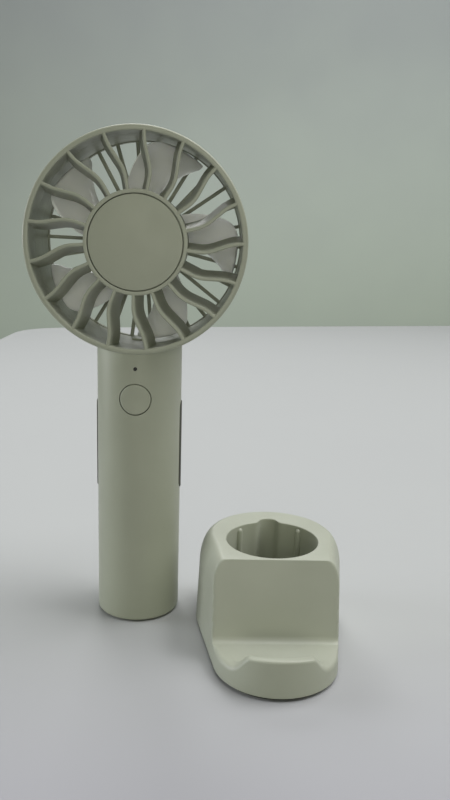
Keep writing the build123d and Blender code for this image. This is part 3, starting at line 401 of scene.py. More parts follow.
@dataclass(frozen=True)
class Finish:
    """One surface finish, made as a material with the shared groups."""

    name: str
    colour: Colour
    shade: Colour
    roughness: float = 0.45
    metal: float = 0.0
    bump: float = 0.03
    grain: float = 5000.0
    dust: float = 0.25
    coat: float = 0.0
    scatter: float = 0.0
    pattern: Pattern = Pattern.PLAIN

    def material(self, shared: Shared) -> Material:
        """Makes the material.

        Args:
            shared: the node groups that all finishes use.

        Returns:
            The material.
        """
        made = bpy.data.materials.new(self.name)
        made.use_nodes = True
        tree = made.node_tree
        shader = tree.nodes["Principled BSDF"]
        where = tree.nodes.new("ShaderNodeTexCoord").outputs["Object"]
        grain = self.call(tree, shared.grain, where, "Grains per metre", self.grain)
        dust = self.call(tree, shared.dust, where, "Amount", self.dust)
        touch = self.call(tree, shared.touch, where, "Patches per metre", TOUCH_PATCHES)
        colour = self.mix(tree, grain.outputs["Mottle"], self.colour, self.shade)
        height = grain.outputs["Height"]
        colour, height = self.patterned(tree, where, colour, height)
        share, floor = DUST_COLOUR
        dusty = self.mix(tree, dust.outputs["Mask"], colour, tuple(min(1.0, c * share + floor) for c in self.colour))
        tree.links.new(dusty, shader.inputs["Base Color"])
        worn = range_node(tree, touch.outputs["Mask"], 0.0, 1.0, self.roughness + POLISH_CHANGE,
                          self.roughness - POLISH_CHANGE)
        dull = math_node(tree, "MULTIPLY", dust.outputs["Mask"], DUST_ROUGHNESS)
        tree.links.new(math_node(tree, "ADD", worn, dull, clamp=True), shader.inputs["Roughness"])
        bump = add_node(tree, "Bump", {"Strength": 1.0, "Distance": self.bump * MM, "Height": height})
        tree.links.new(bump.outputs["Normal"], shader.inputs["Normal"])
        shader.inputs["Metallic"].default_value = self.metal
        shader.inputs["Coat Weight"].default_value = self.coat
        shader.inputs["Coat Roughness"].default_value = COAT_ROUGHNESS
        if self.scatter:
            shader.inputs["Subsurface Weight"].default_value = self.scatter
            shader.inputs["Subsurface Scale"].default_value = SCATTER_DEPTH
            shader.inputs["Subsurface Radius"].default_value = SCATTER_COLOUR
        made.diffuse_color = (*self.colour, 1.0)
        return made

    @staticmethod
    def call(tree: Tree, group: Tree, where: Socket, label: str, value: float) -> bpy.types.Node:
        """Places a shared group, read at a place, with one of its values set."""
        return add_node(tree, "Group", {"Place": where, label: value}, node_tree=group)

    @staticmethod
    def mix(tree: Tree, factor: Socket, a: object, b: object) -> Socket:
        """Mixes two colours, each a socket or a colour, by a factor."""
        first, last = (value if isinstance(value, Socket) else (*value, 1.0) for value in (a, b))
        return add_node(tree, "Mix", {"Factor": factor, 6: first, 7: last}, data_type="RGBA").outputs[2]

    def patterned(self, tree: Tree, where: Socket, colour: Socket, height: Socket) -> tuple[Socket, Socket]:
        """Adds the finish's own pattern to its colour and height.

        Args:
            tree: the material's tree.
            where: Object coordinates.
            colour: the colour so far.
            height: the height so far.

        Returns:
            The colour and height with the pattern in them.
        """
        if self.pattern is Pattern.PLAIN:
            return colour, height
        if self.pattern is Pattern.BRUSHED:
            drawn = add_node(tree, "Mapping", {"Vector": where, "Scale": (1.0, 0.03, 1.0)})
            lines = noise_node(tree, drawn.outputs[0], 9000.0)
        elif self.pattern is Pattern.TRACKS:
            cells = add_node(tree, "TexBrick", {"Vector": where, "Scale": 260.0, "Mortar Size": 0.06})
            lines = cells.outputs["Fac"]
        elif self.pattern is Pattern.DIMPLED:
            cells = add_node(tree, "TexVoronoi", {"Vector": where, "Scale": 1100.0, "Randomness": 0.0})
            lines = range_node(tree, cells.outputs["Distance"], 0.15, 0.45)
        elif self.pattern is Pattern.PARTED:
            depth = axis_node(tree, where, "Y")
            away = math_node(tree, "ABSOLUTE", math_node(tree, "SUBTRACT", depth, PARTING_DEPTH * MM))
            lines = range_node(tree, away, *(edge * MM for edge in PARTING_LINE))
        else:
            per_metre = 2400.0 if self.pattern is Pattern.WOUND else 1400.0
            wave = add_node(tree, "TexWave", {"Vector": where, "Scale": per_metre}, bands_direction="Y")
            lines = wave.outputs["Fac"]
        dark = tuple(c * PATTERN_DARK for c in self.shade)
        shown = self.mix(tree, range_node(tree, lines, 0.2, 0.8), dark, colour)
        raised = math_node(tree, "ADD", height, math_node(tree, "MULTIPLY", lines, 1.5))
        return shown, raised


SHELL_COLOUR = (0.345, 0.364, 0.285)
SHELL_SHADE = (0.325, 0.343, 0.267)


class Palette:
    """Every finish of the set, made once and looked up by name."""

    def __init__(self, shared: Shared) -> None:
        """Makes the materials.

        Args:
            shared: the node groups that all finishes use.
        """
        finishes = {
            "shell": Finish("Satin moulding", SHELL_COLOUR, SHELL_SHADE, roughness=0.42, bump=0.02),
            "halves": Finish("Satin moulding with a parting line", SHELL_COLOUR, SHELL_SHADE, roughness=0.42, bump=0.02,
                             pattern=Pattern.PARTED),
            "vanes": Finish("Grille satin plastic", SHELL_COLOUR, SHELL_SHADE, roughness=0.40, bump=0.015),
            "bars": Finish("Rear grille plastic", (0.30, 0.315, 0.25), (0.28, 0.295, 0.235), roughness=0.45),
            "stand": Finish("Stand satin plastic", (0.365, 0.384, 0.31), (0.345, 0.363, 0.292), roughness=0.45,
                            bump=0.02),
            "blades": Finish("Impeller gloss plastic", (0.95, 0.95, 0.88), (0.93, 0.93, 0.86), roughness=0.2,
                             bump=0.004, coat=0.5, scatter=1.0),
            "grip": Finish("Grip rubber", (0.075, 0.078, 0.062), (0.06, 0.062, 0.05), roughness=0.75, bump=0.08,
                           pattern=Pattern.DIMPLED),
            "foot": Finish("Foot rubber", (0.04, 0.042, 0.036), (0.03, 0.032, 0.028), roughness=0.8, bump=0.06),
            "black": Finish("Black moulding", (0.02, 0.02, 0.02), (0.014, 0.014, 0.014), roughness=0.5),
            "pipe": Finish("Smoked light pipe", (0.03, 0.032, 0.028), (0.02, 0.02, 0.018), roughness=0.12, bump=0.003),
            "steel": Finish("Bright steel", (0.62, 0.62, 0.60), (0.5, 0.5, 0.49), roughness=0.3, metal=1.0,
                            bump=0.004, dust=0.05, pattern=Pattern.BRUSHED),
            "core": Finish("Laminated core", (0.12, 0.12, 0.125), (0.09, 0.09, 0.095), roughness=0.5, metal=0.7,
                           pattern=Pattern.LAMINATED),
            "magnet": Finish("Sintered magnet", (0.06, 0.06, 0.065), (0.045, 0.045, 0.05), roughness=0.6, metal=0.4),
            "copper": Finish("Enamelled wire", (0.50, 0.19, 0.07), (0.38, 0.13, 0.05), roughness=0.3, metal=0.9,
                             pattern=Pattern.WOUND),
            "board": Finish("Circuit board", (0.02, 0.12, 0.045), (0.015, 0.09, 0.035), roughness=0.3, bump=0.02,
                            pattern=Pattern.TRACKS),
            "wrap": Finish("Cell sleeve", (0.04, 0.11, 0.26), (0.03, 0.09, 0.22), roughness=0.3, bump=0.01),
        }
        self.made = {key: finish.material(shared) for key, finish in finishes.items()}

    def __getitem__(self, key: str) -> Material:
        """Looks up a material."""
        return self.made[key]


# ---------------------------------------------------------------- head
@dataclass
class FrontGrille:
    """Rim, sleeve, hub cup and S-shaped vanes, one moulding."""

    front: float = -20.5
    rim_radius: float = 45.5
    rim_depth: float = 3.0
    duct_radius: float = 43.15
    sleeve_wall: float = 1.0
    sleeve_past_vanes: float = 0.4
    vane_depth: float = 12.3
    vane_thickness: float = 1.5
    vane_skew: float = 2.6
    vane_count: int = 17
    vane_first: float = 4.5
    hub_radius: float = 21.1
    hub_wall: float = 1.65
    floor_depth: float = 2.6
    floor_thickness: float = 1.6
    shares: tuple[float, ...] = (0.0, 0.36, 0.80, 1.0)
    angles: tuple[float, ...] = (8.2, 7.9, 0.6, 0.0)
    bend: float = 3.4

    def build(self, palette: Palette) -> None:
        """Makes the piece and puts it in the frame.

        Args:
            palette: the materials.
        """
        skin = Skin()
        self.rim(skin)
        self.hub(skin)
        for step in range(self.vane_count):
            skin.tube(self.vane(self.vane_first + 360 * step / self.vane_count))
        place(skin.to_object("grille_swirl"), "fan", "shell_plastic", palette["vanes"], "front_grille")

    def rim(self, skin: Skin) -> None:
        """Adds rim and sleeve: a flat ring whose two front edges are round.

        Args:
            skin: the grids that it joins.
        """
        back = self.front + self.rim_depth
        sleeve = self.duct_radius + self.sleeve_wall
        end = self.front + self.vane_depth + self.sleeve_past_vanes
        corners = [(self.duct_radius, self.front), (self.rim_radius, self.front), (self.rim_radius, back),
                   (sleeve, back), (sleeve, end), (self.duct_radius, end)]
        skin.lathe(corners, [0.7, 1.3, 0.2, 0.1, 0.2, 0.2], 8, 192)

    def hub(self, skin: Skin) -> None:
        """Adds the hub cup: floor, wall and round lip.

        Args:
            skin: the grids that it joins.
        """
        bore = self.hub_radius - self.hub_wall
        floor = self.front + self.floor_depth
        under = floor + self.floor_thickness
        end = self.front + self.vane_depth
        corners = [(ON_AXIS, floor), (bore, floor), (bore, self.front), (self.hub_radius, self.front),
                   (self.hub_radius, end), (bore, end), (bore, under), (ON_AXIS, under)]
        skin.lathe(corners, [0, 0.2, 0.35, 0.45, 0.3, 0.3, 0.2, 0], 6, 160)

    def vane(self, turn: float) -> Array:
        """One vane: P(s, q) = C(s) + N(s) t(q) + (skew, depth) d(q), for a rounded section (t, d).

        C is a line with two soft bends: its corners have shares of the way from hub to sleeve, each
        at its clock angle. N is square to C in the head's plane.

        Args:
            turn: clock angle of the vane's outer end.

        Returns:
            Grid along the vane and round its section.
        """
        inner = self.hub_radius - self.hub_wall / 2
        outer = self.duct_radius + self.sleeve_wall / 2
        radius = inner + np.array(self.shares) * (outer - inner)
        angle = np.radians(turn + np.array(self.angles))
        kinked = np.stack([radius * np.sin(angle), radius * np.cos(angle)], axis=-1)
        line = even_line(rounded(kinked, np.array([0, self.bend, self.bend, 0]), 9, closed=False), 44)
        along = np.gradient(line, axis=0)
        along /= np.linalg.norm(along, axis=-1, keepdims=True)
        normal = np.stack([along[:, 1], -along[:, 0]], axis=-1)
        half = self.vane_thickness / 2
        corners = np.array([(-half, 0.0), (half, 0.0), (half, self.vane_depth), (-half, self.vane_depth)])
        section = rounded(corners, np.array([0.7, 0.7, 0.4, 0.4]), 6)
        turned = np.radians(turn)
        sideways = -np.array([np.cos(turned), -np.sin(turned)]) * self.vane_skew / self.vane_depth
        flat = (line[:, None] + normal[:, None] * section[None, :, :1] + sideways * section[None, :, 1:])
        depth = np.broadcast_to(self.front + section[None, :, 1], flat.shape[:2])
        return np.stack([flat[..., 0], depth, HEAD_HEIGHT + flat[..., 1]], axis=-1)


@dataclass
class CentreCap:
    """Round cover over the hub cup."""

    front: float = -20.5
    radius: float = 19.1
    thickness: float = 1.6
    skirt_inset: float = 2.0
    skirt_wall: float = 1.2
    skirt_end: float = -17.9

    def build(self, palette: Palette) -> None:
        """Makes the cover: a lathe of a flat face with a small round edge and a skirt behind.

        Args:
            palette: the materials.
        """
        back = self.front + self.thickness
        skirt = self.radius - self.skirt_inset
        bore = skirt - self.skirt_wall
        corners = [(ON_AXIS, self.front), (self.radius, self.front), (self.radius, back), (skirt, back),
                   (skirt, self.skirt_end), (bore, self.skirt_end), (bore, back), (ON_AXIS, back)]
        skin = Skin()
        skin.lathe(corners, [0, 0.35, 0.1, 0.1, 0.1, 0.1, 0.1, 0], 6, 160)
        place(skin.to_object("cap_centre"), "fan", "shell_plastic", palette["shell"], "centre_cap")


@dataclass
class RearGrille:
    """Ring, straight bars, and the plate that carries the motor on its boss, one moulding."""

    rear: float = 19.5
    ring_outer: float = 44.25
    ring_inner: float = 42.7
    ring_depth: float = 3.0
    bar_count: int = 30
    bar_first: float = 7.5
    bar_width: float = 1.6
    bar_depth: float = 2.4
    bar_recess: float = 0.05
    bar_root: float = 0.8
    bar_tip: float = 0.6
    plate_radius: float = 18.5
    plate_depth: float = 2.5
    skirt_front: float = 12.0
    skirt_wall: float = 1.4
    board_ring: tuple[float, float, float] = (11.8, 13.0, 13.0)
    boss_radius: float = 3.6
    boss_front: float = -1.5
    bearing_bore: float = 2.52
    bearing_width: float = 2.3
    shaft_bore: float = 1.8
    cap_bore: float = 7.1
    cap_depth: float = 1.2

    def build(self, palette: Palette) -> None:
        """Makes the piece and puts it in the frame.

        Args:
            palette: the materials.
        """
        skin = Skin()
        seat = self.rear - self.ring_depth
        ring = [(self.ring_inner, seat), (self.ring_outer, seat), (self.ring_outer, self.rear),
                (self.ring_inner, self.rear)]
        skin.lathe(ring, [0.4, 0.1, 0.3, 0.7], 6, 192)
        self.plate(skin)
        for step in range(self.bar_count):
            skin.tube(self.bar(np.radians(self.bar_first + 360 * step / self.bar_count)))
        place(skin.to_object("grille_bars"), "fan", "grille_plastic", palette["bars"], "rear_grille")

    def plate(self, skin: Skin) -> None:
        """Adds plate, skirt, board ring and boss, with a bearing seat at both ends of the bore.

        Args:
            skin: the grids that it joins.
        """
        front = self.rear - self.plate_depth
        inner, outer, low = self.board_ring
        skirt = self.plate_radius - self.skirt_wall
        first = self.boss_front + self.bearing_width
        last = front - self.bearing_width
        recess = self.rear - self.cap_depth
        corners = [(self.shaft_bore, first), (self.bearing_bore, first), (self.bearing_bore, self.boss_front),
                   (self.boss_radius, self.boss_front), (self.boss_radius, front), (inner, front), (inner, low),
                   (outer, low), (outer, front), (skirt, front), (skirt, self.skirt_front),
                   (self.plate_radius, self.skirt_front), (self.plate_radius, self.rear), (self.cap_bore, self.rear),
                   (self.cap_bore, recess), (self.bearing_bore, recess), (self.bearing_bore, last),
                   (self.shaft_bore, last)]
        radii = [0.05, 0.05, 0.05, 0.2, 0.3, 0.3, 0.15, 0.15, 0.3, 0.3, 0.3, 0.3, 0.9, 0.3, 0.1, 0.1, 0.05, 0.05]
        skin.lathe(corners, radii, 5, 144)

    def bar(self, turn: float) -> Array:
        """One bar from plate to ring, its section a rounded oblong.

        Args:
            turn: the bar's clock angle in radians.

        Returns:
            Grid along the bar and round its section.
        """
        half = self.bar_width / 2
        low, high = self.rear - self.bar_depth, self.rear - self.bar_recess
        corners = np.array([(-half, low), (half, low), (half, high), (-half, high)])
        section = rounded(corners, np.array([0.5, 0.5, 0.5, 0.5]), 5)[None]
        reach = np.linspace(self.plate_radius - self.bar_root, self.ring_inner + self.bar_tip, 3)[:, None]
        across = reach * np.sin(turn) + section[..., 0] * np.cos(turn)
        up = reach * np.cos(turn) - section[..., 0] * np.sin(turn)
        depth = np.broadcast_to(section[..., 1], across.shape)
        return np.stack([across, depth, HEAD_HEIGHT + up], axis=-1)


@dataclass
class Impeller:
    """Hub cup and five swept blades."""

    count: int = 5
    radius: float = 41.5
    hub_radius: float = 17.5
    hub_wall: float = 1.4
    hub_front: float = -7.0
    hub_rear: float = 11.0
    blade_front: float = -6.4
    blade_rear: float = 8.6
    thickness: float = 1.1
    width_angle: float = 34.4
    sweep: float = 1.13
    front_angle: float = -2.9
    angle_radius: float = 31.4
    camber: float = 1.5
    corner: float = 3.8
    tip_share: float = 0.03
    root_growth: float = 1.2
    root_reach: float = 0.7
    root_limit: float = 1.8
    edge_thickness: float = 0.62
    middle_thickness: float = 0.38
    across_steps: int = 25

    def build(self, palette: Palette) -> None:
        """Makes the piece and puts it in the frame.

        Args:
            palette: the materials.
        """
        skin = Skin()
        self.hub(skin)
        for step in range(self.count):
            skin.tube(self.blade(360 * step / self.count))
        place(skin.to_object("impeller_blades", 60.0), "rotor", "impeller_plastic", palette["blades"], "impeller")

    def hub(self, skin: Skin) -> None:
        """Adds the hub cup, open to the rear.

        Args:
            skin: the grids that it joins.
        """
        bore = self.hub_radius - self.hub_wall
        inner = self.hub_front + self.hub_wall
        corners = [(ON_AXIS, self.hub_front), (self.hub_radius, self.hub_front), (self.hub_radius, self.hub_rear),
                   (bore, self.hub_rear), (bore, inner), (ON_AXIS, inner)]
        skin.lathe(corners, [0, 1.6, 0.3, 0.2, 0.2, 0], 7, 128)

    def blade(self, turn: float) -> Array:
        """One blade, swept, pitched and cambered, with a round tip.

        Across the chord u runs from -1 to 1: angle = front angle + sweep (r cos p - r0) + w/2 + p with
        tan p = u tan(w/2), and depth = middle + u d - c (1 - u^2) n, thickness added along the normal.

        Args:
            turn: clock angle by which the first blade is turned.

        Returns:
            Grid from root to tip and round the section.
        """
        root = self.hub_radius - self.hub_wall / 2
        edge = 1 - self.tip_share
        tip_rise = 1 - self.tip_share * (1 - np.sin(np.linspace(0.1, np.pi / 2, 8)))
        rise = np.concatenate([np.linspace(0, edge, 36), tip_rise])
        radius = (root + rise * (self.radius - root))[:, None]
        spread = np.tan(np.radians(self.width_angle / 2))
        half_chord = radius * spread
        near_tip = np.clip((radius - (self.radius - self.corner)) / self.corner, 0, 1)
        pulled = 1 - self.corner / half_chord * (1 - np.sqrt(np.maximum(1 - near_tip ** 2, 0)))
        across = np.sin(np.linspace(-np.pi / 2, np.pi / 2, self.across_steps))
        chord = np.concatenate([across, across[-2:0:-1]])[None, :]
        side = np.concatenate([np.ones(self.across_steps), -np.ones(self.across_steps - 2)])[None, :]
        u = chord * pulled
        half_depth = (self.blade_rear - self.blade_front) / 2
        pitch = np.arctan(u * spread)
        middle = self.front_angle + self.sweep * (radius * np.cos(pitch) - self.angle_radius) + self.width_angle / 2
        run = np.hypot(half_chord, half_depth)
        normal_round, normal_deep = half_depth / run, -half_chord / run
        tip = np.sqrt(np.maximum(1 - np.clip((rise[:, None] - edge) / self.tip_share, 0, 1) ** 2, 0))
        foot = 1 + self.root_growth * np.exp(-(radius - self.hub_radius) / self.root_reach)
        foot = np.minimum(foot, self.root_limit)
        lens = np.sqrt(np.maximum(1 - chord ** 6, 0))
        lens = lens * (self.edge_thickness + self.middle_thickness * (1 - chord ** 2))
        lift = side * self.thickness / 2 * lens * tip * foot + self.camber * (1 - u ** 2)
        angle = turn + middle + np.degrees(pitch) + np.degrees(lift * normal_round / radius)
        depth = (self.blade_front + self.blade_rear) / 2 + u * half_depth + lift * normal_deep
        return in_head(radius, angle, depth)


# ---------------------------------------------------------------- handle
@dataclass
class Button:
    """Round key that follows the handle's curve, with its flange and stem behind the wall."""

    height: float = 102.5
    radius: float = 6.55
    edge: float = 0.45
    flange_radius: float = 7.9
    flange_front: float = -14.286
    flange_back: float = -13.486
    stem_radius: float = 1.7
    stem_end: float = -12.3
    dish: float = 0.25
    segments: int = 96

    def build(self, palette: Palette) -> None:
        """Makes the key: rings of radius q round its axis, y = -sqrt(R^2 - x^2) + edge(q) + dish(q).

        Args:
            palette: the materials.
        """
        turn = np.linspace(0, 2 * np.pi, self.segments, endpoint=False)[:, None]
        face = np.linspace(0.001, self.radius - self.edge, 14)
        bend = quarter(6)
        reach = np.concatenate([face, self.radius - self.edge + self.edge * np.sin(bend)])
        drop = np.concatenate([self.dish * (1 - (face / face[-1]) ** 2) ** 2, self.edge * (1 - np.cos(bend))])
        front = -np.sqrt(HANDLE_RADIUS ** 2 - (reach * np.cos(turn)) ** 2) + drop
        behind = np.array([(self.radius, self.flange_front), (self.flange_radius, self.flange_front),
                           (self.flange_radius, self.flange_back), (self.stem_radius, self.flange_back),
                           (self.stem_radius, self.stem_end), (0.001, self.stem_end)])
        radius = np.concatenate([reach, behind[:, 0]])[None, :]
        depth = np.concatenate([front, np.broadcast_to(behind[:, 1], (self.segments, len(behind)))], axis=1)
        points = np.stack([radius * np.cos(turn), depth, self.height + radius * np.sin(turn)], axis=-1)
        skin = Skin()
        skin.grid(points, wrap_u=True)
        place(skin.to_object("button_key", 50.0), "button", "shell_plastic", palette["shell"], "button_cap")


@dataclass
class SideGrip:
    """Soft strip let into one side of the handle."""

    side: int
    bottom: float = 58.5
    length: float = 40.5
    width: float = 7.0
    gap: float = 0.1
    edge: float = 0.5
    proud: float = 0.4
    pocket: float = 0.95
    end_steepness: float = 8.0

    def build(self, name: str, palette: Palette) -> None:
        """Makes the strip: a stadium outline shrunk to its middle line, wrapped on the cylinder.

        A point of the outline at share q from the middle has radius R + proud - edge drop near q = 1.

        Args:
            name: the piece's name, and the CAD node it stands for is side_ and grip_ with its side.
            palette: the materials.
        """
        half = self.width / 2 - self.gap
        straight = (self.length - self.width) / 2
        turn = np.linspace(0, 2 * np.pi, 96, endpoint=False)[:, None]
        face = np.linspace(0, half - self.edge, 8)
        bend = quarter(6)
        reach = np.concatenate([face, half - self.edge + self.edge * np.sin(bend), [half, 0.0]])
        out = HANDLE_RADIUS + self.proud
        inner = HANDLE_RADIUS - self.pocket
        rise = np.concatenate([np.full_like(face, out), out - self.edge * (1 - np.cos(bend)), [inner, inner]])
        sideways = reach * np.cos(turn)
        up = reach * np.sin(turn) + straight * np.tanh(self.end_steepness * np.sin(turn))
        swing = np.arcsin(sideways / HANDLE_RADIUS)
        points = np.stack([self.side * rise * np.cos(swing), rise * np.sin(swing),
                           self.bottom + self.length / 2 + up], axis=-1)
        skin = Skin()
        skin.grid(points, wrap_u=True)
        node = "side_grip_right" if self.side > 0 else "side_grip_left"
        place(skin.to_object(name, 60.0), "fan", "grip_rubber", palette["grip"], node)


# ---------------------------------------------------------------- desk stand
LEAST_SLOPE = 0.05
LEAST_FACING = 0.02


@dataclass
class Stand:
    """Desk stand: a leaning-walled block with a socket, a telephone rest, a ledge and a lip."""

    x: float = 60.4
    y: float = -19.3
    turn: float = 1.7
    height: float = 42.0
    skirt: float = 1.5
    rear_round: float = 32.5
    rear_back: float = 7.6
    front_round: float = 25.6
    front_ahead: float = 31.4
    draft: float = 0.04
    crown_height: float = 14.0
    crown_depth: float = 6.3
    front_crown_height: float = 12.2
    front_crown_depth: float = 5.3
    crown_change: tuple[float, float] = (1.75, 2.35)
    wall: float = 2.2
    socket: float = 20.0
    socket_floor: float = 9.0
    tube_wall: float = 1.7
    floor_thickness: float = 2.0
    slot_width: float = 8.4
    slot_depth: float = 4.4
    slot_end_blend: float = 4.5
    slot_side_blend: float = 2.8
    rest_top: float = 21.9
    rest_foot: float = 29.3
    ledge: float = 9.1
    fold_round: float = 2.4
    rest_blend: float = 1.1
    lip_height: float = 15.6
    lip_half_top: float = 12.2
    lip_half_foot: float = 21.0
    lip_rise_power: float = 1.5
    lip_arch: float = 0.9
    lip_thickness: float = 3.4
    lip_root: float = 0.8
    notch_width: float = 1.6
    notch_round: float = 1.3
    rib_angle: float = 42.0
    rib_drop: float = 1.2
    rib_proud: float = 1.3
    rib_width: float = 2.9
    under_gap: float = 0.3
    under_drop: float = 0.5
    samples: int = 420
    halvings: int = 24

    def in_frame(self, across: Array, back: Array, height: Array) -> Array:
        """Turns the stand's own coordinates into the frame's: a turn about Z, then a shift.

        Args:
            across: distance to the right of the socket's centre.
            back: distance behind it.
            height: height above the table.

        Returns:
            Array of points, one more axis than the arguments broadcast to.
        """
        angle = np.radians(self.turn)
        across, back, height = np.broadcast_arrays(across, back, height)
        return np.stack([self.x + across * np.cos(angle) - back * np.sin(angle),
                         self.y + across * np.sin(angle) + back * np.cos(angle), height], axis=-1)

    def plan_radius(self, angle: Array, inset: Array) -> Array:
        """Distance from the socket's centre to the plan outline, drawn in by inset.

        The outline is the hull of a rear and a front circle, so the distance is the greatest of a
        ray's way to the rear circle, to the front circle, and to the tangent line between them.

        Args:
            angle: direction, radians, 0 to the rear and pi to the front.
            inset: how far the outline is drawn in.

        Returns:
            The distance, in the shape the arguments broadcast to.
        """
        across, back = np.abs(np.sin(angle)), np.cos(angle)
        rear, front = self.rear_round - inset, self.front_round - inset
        lean = np.arcsin((self.rear_round - self.front_round) / (self.rear_back + self.front_ahead))

        def to_circle(radius: Array, centre: float) -> Array:
            """Way along a ray to the far side of a circle centred at (0, centre)."""
            middle = back * centre
            return middle + np.sqrt(np.maximum(radius ** 2 - centre ** 2 + middle ** 2, 0))

        normal_across, normal_back = np.cos(lean), -np.sin(lean)
        slope = across * normal_across + back * normal_back
        to_line = (rear + self.rear_back * normal_back) / np.maximum(slope, LEAST_SLOPE)
        line = np.where(slope > LEAST_SLOPE, to_line, FAR)
        bearing = np.arctan2(across, back)
        rear_bearing = np.arctan2(rear * normal_across, self.rear_back + rear * normal_back)
        front_bearing = np.arctan2(front * normal_across, -self.front_ahead + front * normal_back)
        return np.where(bearing < rear_bearing, to_circle(rear, self.rear_back),
                        np.where(bearing > front_bearing, to_circle(front, -self.front_ahead), line))

    def outer_radius(self, angle: Array, height: Array, inset: float) -> Array:
        """Plan radius at a height: leaning wall, then a quarter ellipse that rounds into the top.

        The ellipse is smaller towards the front, where the telephone rest cuts the block off.

        Args:
            angle: direction, radians.
            height: height above the table.
            inset: how far the surface is drawn in.

        Returns:
            The distance, in the shape that angle and height broadcast to.
        """
        bearing = np.arctan2(np.abs(np.sin(angle)), np.cos(angle))
        first, last = self.crown_change
        share = smooth_step(np.clip((bearing - first) / (last - first), 0, 1))
        crown_height = self.crown_height + share * (self.front_crown_height - self.crown_height)
        crown_depth = self.crown_depth + share * (self.front_crown_depth - self.crown_depth)
        low = self.height - inset - crown_height
        rise = np.clip((height - low) / crown_height, 0, 1)
        lean = self.draft * (np.minimum(height, low) - self.skirt)
        drawn = inset + lean + crown_depth * (1 - np.sqrt(np.maximum(1 - rise ** 2, 0)))
        return self.plan_radius(angle, drawn)

    def rest_radius(self, angle: Array, height: Array, inset: float) -> Array:
        """Distance along a ray to the leaning rest at a height, far away where it misses.

        The rest is a plane that runs into the ledge by a quarter circle of radius R: where the height
        u above the ledge is below R, it stands R - sqrt(R^2 - (R - u)^2) further ahead.

        Args:
            angle: direction, radians.
            height: height above the table.
            inset: how far the surface is drawn in.

        Returns:
            The distance, in the shape that angle and height broadcast to.
        """
        slope = (self.rest_foot - self.rest_top) / (self.height - self.ledge)
        short = np.clip(self.fold_round - (height - self.ledge), 0, self.fold_round)
        fold = self.fold_round - np.sqrt(self.fold_round ** 2 - short ** 2)
        ahead = self.rest_foot - slope * (height - self.ledge) - inset + fold
        facing = -np.cos(angle)
        return np.where(facing > LEAST_FACING, ahead / np.maximum(facing, LEAST_FACING), FAR)

    def angles(self) -> Array:
        """Directions round the socket, denser at the slot's edges.

        Returns:
            Rising angles in radians.
        """
        even = np.linspace(0, 2 * np.pi, self.samples, endpoint=False)
        slot = np.arcsin(self.slot_width / 2 / self.socket)
        extra = [side * slot + np.linspace(-0.09, 0.07, 45) * side for side in (-1, 1)]
        return np.unique(np.round(np.concatenate([even, *extra]) % (2 * np.pi), 6))

    def socket_edge(self, angle: Array) -> Array:
        """Radius of the socket and its rear slot, found on each ray by halving.

        The edge is where f = smin(|p| - R, smax(|x| - w/2, y - R - d)) is zero, with smin the smooth
        minimum and smax(a, b) = -smin(-a, -b).

        Args:
            angle: directions round the socket.

        Returns:
            The edge's radius, in the shape of angle.
        """
        def outside(radius: Array) -> Array:
            """The function f at a distance along each ray.

            Args:
                radius: distance from the socket's centre.

            Returns:
                The value of f, below zero inside the edge.
            """
            across, back = np.abs(np.sin(angle)) * radius, np.cos(angle) * radius
            side, end = across - self.slot_width / 2, back - self.socket - self.slot_depth
            slot = np.where(back > 0, -smooth_min(-side, -end, self.slot_end_blend), FAR)
            return smooth_min(radius - self.socket, slot, self.slot_side_blend)

        low = np.full_like(angle, self.socket - 0.5)
        high = np.full_like(angle, self.socket + self.slot_depth + 1.0)
        for _ in range(self.halvings):
            middle = (low + high) / 2
            inside = outside(middle) < 0
            low, high = np.where(inside, middle, low), np.where(inside, high, middle)
        return (low + high) / 2

    @staticmethod
    def section(columns: list[tuple[object, object]], count: int) -> Array:
        """Stacks the corners of a section for every direction.

        Args:
            columns: radius and height of each corner, one value or one for every direction.
            count: how many directions there are.

        Returns:
            Array (count, corners, 2).
        """
        return np.stack([np.stack([np.broadcast_to(np.ravel(part), count) for part in pair], axis=-1)
                         for pair in columns], axis=1)

    def skin_profiles(self, angle: Array) -> Array:
        """Closed section of the moulding for every direction, as (radius, height) corners rounded.

        Outside: foot, wall, lip, ledge, rest, top. Inside the socket: wall and floor to the axis.
        Underneath: the same walls drawn in by the wall's thickness, back to the foot.

        Args:
            angle: directions round the socket.

        Returns:
            Array (directions, points, 2).
        """
        a = angle[:, None]
        crown = self.height - self.crown_height
        arc = np.sin(quarter(14))[None, :]
        fold = self.fold_round * (1 - np.cos(quarter(9)))[None, :]
        straight = np.linspace(self.ledge + self.fold_round, crown, 4)[None, 1:-1]
        rise = np.concatenate([self.ledge + fold, straight, crown + self.crown_height * arc], axis=1)
        free = self.outer_radius(a, rise, 0.0)
        rest = self.rest_radius(a, rise, 0.0)
        gap = np.clip(0.5 + (rest - free) / (2 * self.rest_blend), 0, 1)
        body = free * gap + rest * (1 - gap) - self.rest_blend * gap * (1 - gap)
        body = np.where(rest > FAR / 2, free, body)
        foot = self.outer_radius(a, np.array(self.skirt), 0.0)
        shoulder = self.outer_radius(a, np.array(self.ledge), 0.0)
        across = np.abs(np.sin(a)) * shoulder
        share = np.clip((self.lip_half_foot - across) / (self.lip_half_foot - self.lip_half_top), 0, 1)
        share = share ** self.lip_rise_power
        arch = self.lip_arch * np.clip(1 - (across / self.lip_half_top) ** 2, 0, 1)
        lip = (self.lip_height + arch - self.ledge) * smooth_step(share)
        top = self.ledge + np.where(np.cos(a) < -0.3, lip, 0.0)
        lip_outer = self.outer_radius(a, top, 0.0)
        thick = self.lip_thickness + self.notch_width * (1 - share)
        lip_inner = np.maximum(lip_outer - thick, body[:, :1])
        lip_foot = np.maximum(shoulder - thick - self.lip_root, body[:, :1])
        edge = self.socket_edge(a)
